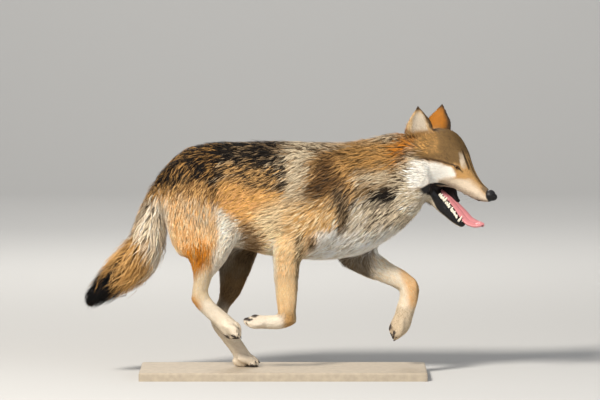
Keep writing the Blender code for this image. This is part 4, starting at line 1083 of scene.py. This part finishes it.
def tuftMesh(name, index):
    verts, faces, colors, along, patch, lean = [], [], [], [], [], []
    base = 0
    for group, joints in ((index[isLong[index]], 2), (index[~isLong[index]], 1)):
        number = len(group)
        if not number:
            continue
        normal, mine, half = rootNormals[group], clump[group], wide[group][:, None]
        foot, middle, tip = start[group], mid[group], end[group]
        run = unit(tip - foot)
        # the clump's normals farther on, except round an ear's rim
        bent = [np.where((dot(paths[k][1][mine], normal) > 0.5), paths[k][1][mine], normal) for k in (1, 2)]
        if joints == 2:
            rings = [ring(foot, unit(middle - foot), normal, half * tuftMake["rootWidth"]),
                     ring(middle, run, paths[1][1][mine], half)]
            leaning = [leans(run, normal), leans(run, bent[0])]
        else:
            rings = [ring(foot, run, normal, half)]
            leaning = [leans(run, normal)]
        leaning = np.concatenate(leaning + [unit(bent[1] + 0.3 * normal)[:, None]], 1)
        block = np.concatenate([np.stack(r, 1) for r in rings] + [tip[:, None]], 1)
        each = block.shape[1]
        verts.append(block.reshape(-1, 3))
        shape = [(0, 2, 1)]
        if joints == 2:
            for i, j in ((0, 1), (1, 2), (2, 0)):
                shape += [(i, j, 3 + j), (i, 3 + j, 3 + i)]
        last = 3 * (joints - 1)
        shape += [(last, last + 1, last + 3), (last + 1, last + 2, last + 3), (last + 2, last, last + 3)]
        shape = np.array(shape)[:, ::-1]
        firsts = base + np.arange(number)[:, None] * each
        faces.append((firsts[:, :, None] + shape[None]).reshape(-1, 3))
        facing = np.where((shape % 3 == 2).any(1), 1.0, -1.0)  # undersides face the skin
        facing[0] = 1.0
        lean.append((leaning[:, shape] * facing[None, :, None, None]).reshape(-1, 3))
        base += number * each
        color = tone[group]
        # painted shade at the root, deepest in long dark hair
        bright = color.mean(1, keepdims=True)
        rootShadeShare = soft(0.014, 0.045, sizes[group, :1]) * soft(0.55, 0.20, bright)
        rootShade = color * (tuftMake["rootShade"] - tuftMake["rootShadeMore"] * rootShadeShare)
        layers = [rootShade] * 3 + [color] * (3 * joints - 3) + [color * tuftMake["tip"]]
        colors.append(np.stack(layers, 1).reshape(-1, 3))
        steps = np.array([0.0] * 3 + [0.5] * (3 * joints - 3) + [1.0])
        along.append(np.tile(steps, number))
        place = rootPlaces[group]
        across, drop = np.array([-1, 1, 0] * joints + [0]), np.array([0, 0, tuftMake["ridge"]] * joints + [0])
        u = place[:, :1] + across[None] * tuftMake["patch"][0]
        v = place[:, 1:] + (steps + drop - 0.5)[None] * tuftMake["patch"][1]
        patch.append(np.stack([u, v], 2).reshape(-1, 2))
    verts, faces = np.concatenate(verts), np.concatenate(faces)
    mesh = bpy.data.meshes.new(name)
    mesh.vertices.add(len(verts))
    mesh.vertices.foreach_set("co", verts.astype(np.float32).ravel())
    mesh.loops.add(faces.size)
    mesh.loops.foreach_set("vertex_index", faces.astype(np.int32).ravel())
    mesh.polygons.add(len(faces))
    mesh.polygons.foreach_set("loop_start", np.arange(0, faces.size, 3, dtype=np.int32))
    mesh.update(calc_edges=True)
    writeTones(mesh, np.concatenate(colors))
    writeLayer(mesh, "along", "FLOAT", "POINT", np.concatenate(along))
    writeLayer(mesh, "custom_normal", "FLOAT_VECTOR", "CORNER", np.concatenate(lean))
    layer = mesh.uv_layers.new(name="OFBake")
    layer.data.foreach_set("uv", np.concatenate(patch)[faces.ravel()].astype(np.float32).ravel())
    made = bpy.data.objects.new(name, mesh)
    scene.collection.objects.link(made)
    return made


coat = []
for name in sorted(set(piece)):
    index = np.flatnonzero(piece == name)
    made = tuftMesh("coat_" + name, index)
    coat.append(made)
    print(made.name, len(made.data.polygons))


def newLook(name, roughness, **settings):
    look = bpy.data.materials.new(name)
    look.use_nodes = True
    shader = look.node_tree.nodes["Principled BSDF"]
    shader.inputs["Roughness"].default_value = roughness
    for key, value in settings.items():
        shader.inputs[key.replace("_", " ")].default_value = value
    return look, look.node_tree, shader


def addNode(tree, kind, **settings):
    node = tree.nodes.new("ShaderNode" + kind)
    for key, value in settings.items():
        setattr(node, key, value)
    return node


def fineSpots():  # node group: uneven tone and height from fine spots
    group = bpy.data.node_groups.new("fineSpots", "ShaderNodeTree")
    for name, way, kind in (("Color", "INPUT", "NodeSocketColor"), ("Size", "INPUT", "NodeSocketFloat"),
                            ("Amount", "INPUT", "NodeSocketFloat"), ("Color", "OUTPUT", "NodeSocketColor"),
                            ("Height", "OUTPUT", "NodeSocketFloat")):
        group.interface.new_socket(name=name, in_out=way, socket_type=kind)
    source, target = group.nodes.new("NodeGroupInput"), group.nodes.new("NodeGroupOutput")
    place = addNode(group, "TexCoord")
    coarse = addNode(group, "TexNoise")
    coarse.inputs["Detail"].default_value = 5.0
    contrast = addNode(group, "MapRange")
    contrast.inputs["From Min"].default_value, contrast.inputs["From Max"].default_value = 0.3, 0.7
    low = addNode(group, "Math", operation="SUBTRACT")
    low.inputs[0].default_value = 1.0
    high = addNode(group, "Math", operation="ADD")
    high.inputs[0].default_value = 1.0
    tint = addNode(group, "VectorMath", operation="SCALE")
    link = group.links.new
    link(place.outputs["Object"], coarse.inputs["Vector"])
    link(source.outputs["Size"], coarse.inputs["Scale"])
    link(coarse.outputs["Fac"], contrast.inputs["Value"])
    link(source.outputs["Amount"], low.inputs[1])
    link(source.outputs["Amount"], high.inputs[1])
    link(low.outputs[0], contrast.inputs["To Min"])
    link(high.outputs[0], contrast.inputs["To Max"])
    link(source.outputs["Color"], tint.inputs[0])
    link(contrast.outputs["Result"], tint.inputs["Scale"])
    link(tint.outputs["Vector"], target.inputs["Color"])
    link(coarse.outputs["Fac"], target.inputs["Height"])
    return group


spots = fineSpots()


def spotted(look, color, size, amount, bump=0.0, distance=0.001):  # the group placed in a finish
    made, tree, shader = look
    group = addNode(tree, "Group", node_tree=spots)
    group.inputs["Size"].default_value, group.inputs["Amount"].default_value = size, amount
    if isinstance(color, str):
        source = addNode(tree, "Attribute", attribute_name=color)
        tree.links.new(source.outputs["Color"], group.inputs["Color"])
    else:
        group.inputs["Color"].default_value = (*color, 1)
    tree.links.new(group.outputs["Color"], shader.inputs["Base Color"])
    if bump:
        relief = addNode(tree, "Bump")
        relief.inputs["Strength"].default_value, relief.inputs["Distance"].default_value = bump, distance
        tree.links.new(group.outputs["Height"], relief.inputs["Height"])
        tree.links.new(relief.outputs["Normal"], shader.inputs["Normal"])
    return made


# color: the name of the piece's own, or red, green and blue; spots: size, amount, bump and its depth
finishes = {
    "coatHair": {"roughness": 0.60, "shader": {"Specular_IOR_Level": 0.12}, "color": "tone",
                 "spots": (90.0, 0.10)},
    "hairedSkin": {"roughness": 0.78, "shader": {"Specular_IOR_Level": 0.25}, "color": "tone",
                   "spots": (420.0, 0.16, 0.5, 0.0015)},
    "noseLeather": {"roughness": 0.50, "color": (0.010, 0.009, 0.010), "spots": (1100.0, 0.35, 0.6, 0.0006),
                    "shader": {"Specular_IOR_Level": 0.35, "Coat_Weight": 0.15, "Coat_Roughness": 0.4}},
    "wetTongue": {"roughness": 0.30, "shader": {"Coat_Weight": 0.5, "Coat_Roughness": 0.12},
                  "color": (0.62, 0.23, 0.24), "spots": (700.0, 0.10, 0.4, 0.0005)},
    # near black inside the mouth: its dark skin, and painted shadow
    "mouthDark": {"roughness": 0.75, "shader": {"Specular_IOR_Level": 0.2}, "color": (0.012, 0.007, 0.007),
                  "spots": (300.0, 0.25)},
    "toothIvory": {"roughness": 0.22, "shader": {"Coat_Weight": 0.3, "Coat_Roughness": 0.1},
                   "color": (0.80, 0.74, 0.60), "spots": (250.0, 0.08)},
    "clawHorn": {"roughness": 0.35, "color": (0.045, 0.036, 0.030), "spots": (500.0, 0.30, 0.2, 0.0003)},
    "lidLeather": {"roughness": 0.38, "color": (0.012, 0.010, 0.010), "spots": (900.0, 0.25)},
    "whiskerHair": {"roughness": 0.4, "color": (0.03, 0.026, 0.024), "spots": (300.0, 0.10)},
    "sandBoard": {"roughness": 0.62, "color": (0.42, 0.35, 0.26), "spots": (60.0, 0.10, 0.2, 0.0006)},
}
skinWet = {"dry": 0.78, "wet": 0.30}  # roughness of the skin's dry and wet places

looks = {}
for name, values in finishes.items():
    look = newLook(name, values["roughness"], **values.get("shader", {}))
    looks[name] = spotted(look, values["color"], *values["spots"])
skinTree = looks["hairedSkin"].node_tree
wetness = addNode(skinTree, "Attribute", attribute_name="wet")
dryness = addNode(skinTree, "MapRange")
dryness.inputs["To Min"].default_value = skinWet["dry"]
dryness.inputs["To Max"].default_value = skinWet["wet"]
skinTree.links.new(wetness.outputs["Fac"], dryness.inputs["Value"])
skinTree.links.new(dryness.outputs["Result"], skinTree.nodes["Principled BSDF"].inputs["Roughness"])

# the skin's colors under the coat, darkened as painted shade where long hair covers it
underCoat = {"underHairShade": 0.55, "shortHairLift": 0.35, "mouthPink": 0.6, "mouthDark": 0.4, "toeCreaseShade": 0.7}
mix = readMarks(skinPoints, skinNormals)
share = mix["share"][:, None]
shortHair = soft(0.024, 0.008, size[:, :1])
under = mix["main"] * (1 - share) + mix["streak"] * share
under = under * (underCoat["underHairShade"] + underCoat["shortHairLift"] * shortHair)
for color, cover in (("skinBlack", np.maximum.reduce([lips, lidRim, noseBare])),
                     ("mouthPink", mouth * (1 - lips) * underCoat["mouthPink"]),
                     # painted shadow inside the mouth, partly its dark skin
                     ("skinBlack", mouth * underCoat["mouthDark"]), ("pad", pads),
                     # painted shade in the creases between the toes
                     ("shade", toeCreaseShade * underCoat["toeCreaseShade"])):
    under = under + (linear(color) - under) * np.clip(cover, 0, 1)[:, None]
writeTones(skin.data, under)
writeLayer(skin.data, "wet", "FLOAT", "POINT", np.clip(np.max([mouth, lips, lidRim, noseBare], axis=0), 0, 1))
pickOnly(skin)
bpy.ops.object.shade_smooth()


def dress(thing, name, look, replaced=()):
    thing.name = thing.data.name = name
    thing.data.materials.clear()
    thing.data.materials.append(look)
    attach(thing, "root")
    if replaced:
        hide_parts(*replaced)


dress(skin, "skin", looks["hairedSkin"], flesh)
for made in coat:
    dress(made, made.name, looks["coatHair"])
print("skin and coat finished")


def headPlaced(thing):  # from the head's own frame to its place, leaving the object at the origin
    setPoints(thing.data, fromHead(pointsOf(thing.data)))
    return thing


def tubes(name, strands, thick, rounding, closed=False):  # round strands; each has places and radii
    curve = bpy.data.curves.new(name, "CURVE")
    curve.dimensions, curve.bevel_depth, curve.bevel_resolution = "3D", thick, rounding
    for places, radii in strands:
        line = curve.splines.new("POLY")
        line.points.add(len(places) - 1)
        for point, place, radius in zip(line.points, places, radii):
            point.co, point.radius = (*place, 1), radius
        line.use_cyclic_u = closed
    made = bpy.data.objects.new(name, curve)
    scene.collection.objects.link(made)
    pickOnly(made)
    bpy.ops.object.convert(target="MESH")
    return bpy.context.object


# color rings of the eyeball, from the pupil's middle out
irisMake = [(0.0, (0.001, 0.001, 0.001)), (0.25, (0.001, 0.001, 0.001)), (0.29, (0.16, 0.07, 0.014)),
            (0.46, (0.30, 0.14, 0.028)), (0.55, (0.07, 0.03, 0.008)), (0.60, (0.004, 0.003, 0.003)),
            (1.0, (0.02, 0.014, 0.012))]
ballMake = {"cornea": 0.0009, "corneaWidth": 0.0058, "rim": 0.00050, "rimOut": 0.0004, "rimPoints": 48}
eyeLook, eyeTree, eyeShader = newLook("eyeAmber", 0.35, Specular_IOR_Level=0.08, Coat_Weight=0.22,
                                      Coat_Roughness=0.05)
fromPole = addNode(eyeTree, "Attribute", attribute_name="fromPole")
ramp = addNode(eyeTree, "ValToRGB")
while len(ramp.color_ramp.elements) < len(irisMake):
    ramp.color_ramp.elements.new(0.5)
for element, (place, color) in zip(ramp.color_ramp.elements, irisMake):
    element.position, element.color = place, (*color, 1)
eyeTree.links.new(fromPole.outputs["Fac"], ramp.inputs["Fac"])
eyeTree.links.new(ramp.outputs["Color"], eyeShader.inputs["Base Color"])
for name, eye in eyes.items():
    ball = addNew(bpy.ops.mesh.primitive_uv_sphere_add, segments=48, ring_count=40, radius=eyeMake["radius"])
    raw = pointsOf(ball.data)
    away = np.hypot(raw[:, 0], raw[:, 1])
    cornea = ballMake["cornea"] * np.exp(-((away / ballMake["corneaWidth"]) ** 4))
    raw[:, 2] += np.where(raw[:, 2] > 0, cornea, 0)
    writeLayer(ball.data, "fromPole", "FLOAT", "POINT", np.where(raw[:, 2] > 0, away / eyeMake["radius"], 1))
    gaze, up = eye["gaze"], eye["up"]
    setPoints(ball.data, eye["middle"] + raw @ np.stack([np.cross(up, gaze), up, gaze]))
    headPlaced(ball)
    bpy.ops.object.shade_smooth()
    dress(ball, name.replace("eye", "eyeball"), eyeLook, [name])

    # thin dark rim along the lids
    rounds = np.linspace(0, 2 * math.pi, ballMake["rimPoints"] + 1)[:-1]
    alongs = np.where(np.cos(rounds) < 0, eyeMake["inner"], eyeMake["outer"]) * np.cos(rounds)
    ups = np.sign(np.sin(rounds)) * lidHeight(alongs, np.sin(rounds) > 0)
    flat = eye["slit"] * alongs[:, None] + eye["up"] * ups[:, None]
    reach = eyeMake["radius"] + ballMake["rimOut"]
    out = np.sqrt(np.maximum(reach**2 - alongs**2 - ups**2, 1e-8))
    places = fromHead(eye["middle"] + flat + eye["gaze"] * out[:, None])
    rim = tubes(name + "_rim", [(places, np.ones(len(places)))], ballMake["rim"], 2, closed=True)
    bpy.ops.object.shade_smooth()
    dress(rim, name.replace("eye", "eyelid"), looks["lidLeather"])
print("eyes made")

# forms: nostrils, their side slits, the groove below, and the wings
noseMake = {"middle": (0.1205, 0, -0.0375), "size": (0.0150, 0.0185, 0.0165), "nod": 8.0,
            "forms": [((0.1340, 0.0080, -0.0395), 0.0038, (-0.0095, 0, 0.0008)),
                      ((0.1285, 0.0145, -0.0425), 0.0036, (-0.0060, -0.0050, 0.0004)),
                      ((0.1340, 0, -0.0440), 0.0020, (-0.0012, 0, 0)),
                      ((0.1340, 0, -0.0490), 0.0020, (-0.0014, 0, 0)),
                      ((0.1290, 0.0170, -0.0330), 0.0050, (0.0006, 0.0014, 0.0010))]}
nose = addNew(bpy.ops.mesh.primitive_uv_sphere_add, segments=72, ring_count=48, radius=1.0,
              scale=noseMake["size"], location=noseMake["middle"],
              rotation=(0, math.radians(noseMake["nod"]), 0))
bpy.ops.object.transform_apply(location=True, rotation=True, scale=True)
setPoints(nose.data, push(pointsOf(nose.data), noseMake["forms"]))
headPlaced(nose)
bpy.ops.object.shade_smooth()
dress(nose, "noseLeather", looks["noseLeather"], ["nose"])

# path: x and z of its top, half width, roll in degrees
tongueMake = {"thick": 0.0085, "groove": 0.0022, "grooveWidth": 0.16, "arch": 0.0035, "ripple": 0.0006,
              "rows": 40, "across": 16, "steps": 400,
              "path": [(-0.034, -0.090, 0.011, 5), (0.000, -0.098, 0.014, 10), (0.030, -0.108, 0.016, 18),
                       (0.060, -0.121, 0.018, 26), (0.084, -0.132, 0.019, 30), (0.104, -0.133, 0.019, 26),
                       (0.122, -0.128, 0.0165, 20), (0.134, -0.125, 0.0110, 14),
                       (0.1385, -0.125, 0.0040, 10)]}


def smoothPath(rows, steps):  # even curve through rows of numbers
    rows = np.array(rows, float)
    out = []
    for t in np.linspace(0, len(rows) - 1.0001, steps):
        i, f = int(t), t - int(t)
        before, here, then, after = (rows[min(max(i + k, 0), len(rows) - 1)] for k in (-1, 0, 1, 2))
        out.append(0.5 * (2 * here + (then - before) * f + (2 * before - 5 * here + 4 * then - after) * f**2
                          + (3 * here - before - 3 * then + after) * f**3))
    return np.array(out)


tongue = addNew(bpy.ops.mesh.primitive_grid_add, x_subdivisions=tongueMake["rows"],
                y_subdivisions=tongueMake["across"], size=2)
raw = pointsOf(tongue.data)
path = smoothPath(tongueMake["path"], tongueMake["steps"])
last = tongueMake["steps"] - 1
at = np.clip(((raw[:, 0] + 1) / 2 * last), 0, last).astype(int)
row = path[at]
ahead = unit(path[np.minimum(at + 4, last)][:, :2] - path[np.maximum(at - 4, 0)][:, :2])
roll = np.radians(row[:, 3])
aside = raw[:, 1]
up = np.stack([-ahead[:, 1], np.zeros(len(aside)), ahead[:, 0]], 1)
side = np.array((0.0, 1.0, 0.0))
acrossWay = side * np.cos(roll)[:, None] + up * np.sin(roll)[:, None]
upWay = up * np.cos(roll)[:, None] - side * np.sin(roll)[:, None]
groove = tongueMake["groove"] * np.exp(-((aside / tongueMake["grooveWidth"]) ** 2))
height = -tongueMake["arch"] * aside**2 - groove
height = height + tongueMake["ripple"] * np.sin(row[:, 0] * 260) * (1 - aside**2)
middle = np.stack([row[:, 0], np.zeros(len(aside)), row[:, 1]], 1)
setPoints(tongue.data, middle + acrossWay * (aside * row[:, 2])[:, None] + upWay * height[:, None])
pickOnly(tongue)
modify(tongue, "SOLIDIFY", thickness=tongueMake["thick"], offset=-1.0)
modify(tongue, "SUBSURF", levels=1, render_levels=1)
headPlaced(tongue)
bpy.ops.object.shade_smooth()
dress(tongue, "wetTongue", looks["wetTongue"], ["tongue"])


# a bent cone with a rounded tip; flat and wide: its thickness and width over its radius
def spike(place, way, length, radius, bend=(0, 0, 0), flat=1.0, blunt=0.18, wide=1.0):
    made = addNew(bpy.ops.mesh.primitive_cone_add, vertices=14, radius1=1, radius2=blunt, depth=1,
                  location=(0, 0, 0.5))
    bpy.ops.object.transform_apply(location=True)
    onWholeMesh(bpy.ops.mesh.subdivide, number_cuts=2)
    raw = pointsOf(made.data)
    tipRise = 0.04 * (1 - np.hypot(raw[:, 0], raw[:, 1]) / blunt)
    raw[:, 2] = np.where(raw[:, 2] > 0.99, 1.0 + tipRise, raw[:, 2])
    swell = 1 + 0.25 * np.sin(np.clip(raw[:, 2], 0, 1) * math.pi)
    way = unit(np.array(way, float))
    first = unit(np.cross(way, (0.0, 1.0, 0.02)))
    second = np.cross(way, first)
    t = raw[:, 2:3]
    shape = np.array(place) + way * t * length + first * raw[:, :1] * (radius * swell * wide)[:, None]
    shape = shape + second * raw[:, 1:2] * (radius * flat * swell)[:, None] + np.array(bend) * t**2
    setPoints(made.data, shape)
    onWholeMesh(bpy.ops.mesh.normals_make_consistent, inside=False)
    bpy.ops.object.shade_smooth()
    return made


def joined(parts, name):
    bpy.ops.object.select_all(action="DESELECT")
    for part in parts:
        part.select_set(True)
    bpy.context.view_layer.objects.active = parts[0]
    bpy.ops.object.join()
    parts[0].name = name
    return parts[0]


toothMake = {"sunk": 0.004, "longFrom": 0.011, "flat": 0.8, "blunt": (0.14, 0.24), "wide": (1.0, 1.15)}
for row, rows in teethMake.items():
    way = unit(np.array(rows["way"]))
    made = []
    for x, z, y, length, radius, half in rows["row"]:
        cheekTooth = half > 0
        cusps = ((0, 1.0), (-half, 0.62), (half * 0.9, 0.55)) if cheekTooth else ((0, 1.0),)
        fang = length > toothMake["longFrom"] and not cheekTooth
        for side in (1, -1):
            for ahead, tall in cusps:
                root = np.array((x + ahead, y * side, z + ahead * rows["slope"])) - way * toothMake["sunk"]
                bend = (-0.0045, 0.0015 * side, 0) if fang else (-0.001, 0, 0)
                made.append(spike(root, way, length * tall + toothMake["sunk"], radius, bend,
                                  toothMake["flat"], toothMake["blunt"][cheekTooth],
                                  toothMake["wide"][cheekTooth]))
    dress(headPlaced(joined(made, "teeth")), "teeth_" + row, looks["toothIvory"])

# dark sheet at the back of the mouth, its inner cheek skin colored near black, mostly as painted shadow:
# sides from its middle to its left, outline in x and z
liningMake = {"sides": (0.006, 0.029), "outline": [
    (-0.052, -0.080), (-0.030, -0.066), (-0.006, -0.062), (0.001, -0.068), (0.006, -0.080), (0.014, -0.092),
    (0.028, -0.102), (0.026, -0.110), (0.008, -0.106), (-0.010, -0.099), (-0.045, -0.092)]}
lining = addNew(bpy.ops.mesh.primitive_circle_add, vertices=len(liningMake["outline"]), fill_type="NGON")
first, last = liningMake["sides"]
flat = np.array(liningMake["outline"])
setPoints(lining.data, np.stack([flat[:, 0], np.full(len(flat), first), flat[:, 1]], 1))
bpy.ops.object.mode_set(mode="EDIT")
bpy.ops.mesh.select_all(action="SELECT")
bpy.ops.mesh.extrude_region_move(TRANSFORM_OT_translate={"value": (0, last - first, 0)})
bpy.ops.mesh.select_all(action="SELECT")
bpy.ops.mesh.normals_make_consistent(inside=False)
bpy.ops.object.mode_set(mode="OBJECT")
modify(lining, "BEVEL", width=0.003, segments=3)
modify(lining, "TRIANGULATE")
headPlaced(lining)
bpy.ops.object.shade_smooth_by_angle(angle=math.radians(50))
dress(lining, "mouth_lining_shadow", looks["mouthDark"])
print("mouth made")

clawMake = {"length": 0.0095, "radius": 0.0023, "sunk": 0.0040, "above": 0.0025, "spread": 0.05,
            "droop": 0.22, "hook": 0.0035, "flat": 0.8, "blunt": 0.25}
for foot, (knuckles, way, back, reach) in feet.items():
    way, back = unit(np.array(way, float)), unit(np.array(back, float))
    along, across, out, own = inFoot(foot, skinPoints)
    turns = toeTurns(along, across)
    made = []
    for place in toeMake["places"]:
        mine = own & (np.abs(turns - place) < 0.22) & (along > reach * 0.4)
        if not mine.any():
            continue
        high = np.median(out[mine & (along > along[mine].max() - 0.014)])
        mine &= np.abs(out - high) < 0.005
        end = along[mine].max()
        root = np.array(knuckles) + way * (end - clawMake["sunk"]) + back * (high + clawMake["above"])
        root[1] = knuckles[1] + place * (toeMake["spacing"] + toeMake["fan"] * end)
        aim = way + np.array((0, place * clawMake["spread"], 0)) - back * clawMake["droop"]
        made.append(spike(root, aim, clawMake["length"], clawMake["radius"], -back * clawMake["hook"],
                          clawMake["flat"], clawMake["blunt"]))
    dress(joined(made, "claws"), "claws_" + foot, looks["clawHorn"])
print("claws made")

whiskerMake = {"count": 22, "thick": 0.00024, "joints": 12, "lengths": (0.028, 0.046), "waver": 0.10,
               "droop": (-0.012, 0, -0.006), "taper": 0.85}
strands = []
for k in range(whiskerMake["count"]):
    side = 1 if k % 2 else -1
    rowDown, rowBack = (k // 2) % 3, (k // 2) // 3
    root = np.array((0.100 - 0.011 * rowBack, 0.0245 * side, -0.044 - 0.0065 * rowDown))
    aim = np.array((-0.35 - 0.12 * rowBack, 0.9 * side, -0.12 - 0.12 * rowDown))
    aim = unit(aim + rng.normal(0, whiskerMake["waver"], 3))
    length = rng.uniform(*whiskerMake["lengths"])
    t = np.arange(whiskerMake["joints"]) / (whiskerMake["joints"] - 1)
    places = root + aim * length * t[:, None] + np.array(whiskerMake["droop"]) * t[:, None] ** 2
    strands.append((fromHead(places), 1 - whiskerMake["taper"] * t))
dress(tubes("whiskers", strands, whiskerMake["thick"], 1), "whiskers", looks["whiskerHair"])
print("whiskers made")

board = nodes["stand_base"]
board.data.materials.clear()
board.data.materials.append(looks["sandBoard"])
ground = addNew(bpy.ops.mesh.primitive_plane_add, size=floor["size"],
                location=(0, -floor["size"] / 2 + floor["behind"], 0))
ground.name = "floor"
bpy.ops.object.transform_apply(location=True)
bpy.ops.object.mode_set(mode="EDIT")
bpy.ops.mesh.select_all(action="DESELECT")
sheet = bmesh.from_edit_mesh(ground.data)
for edge in sheet.edges:
    edge.select = all(v.co.y > floor["behind"] - 0.01 for v in edge.verts)
bmesh.update_edit_mesh(ground.data)
bpy.ops.mesh.extrude_region_move(TRANSFORM_OT_translate={"value": (0, 0, floor["wall"])})
bpy.ops.mesh.select_all(action="DESELECT")
sheet = bmesh.from_edit_mesh(ground.data)
for edge in sheet.edges:
    edge.select = all(v.co.y > floor["behind"] - 0.01 and v.co.z < 0.01 for v in edge.verts)
bmesh.update_edit_mesh(ground.data)
bpy.ops.mesh.bevel(offset=floor["curve"], segments=24, affect="EDGES")
bpy.ops.object.mode_set(mode="OBJECT")
bpy.ops.object.shade_smooth()
floorLook, _, floorShader = newLook("paleFloor", 0.85)
floorShader.inputs["Base Color"].default_value = (*floor["color"], 1)
ground.data.materials.append(floorLook)
print("floor laid")
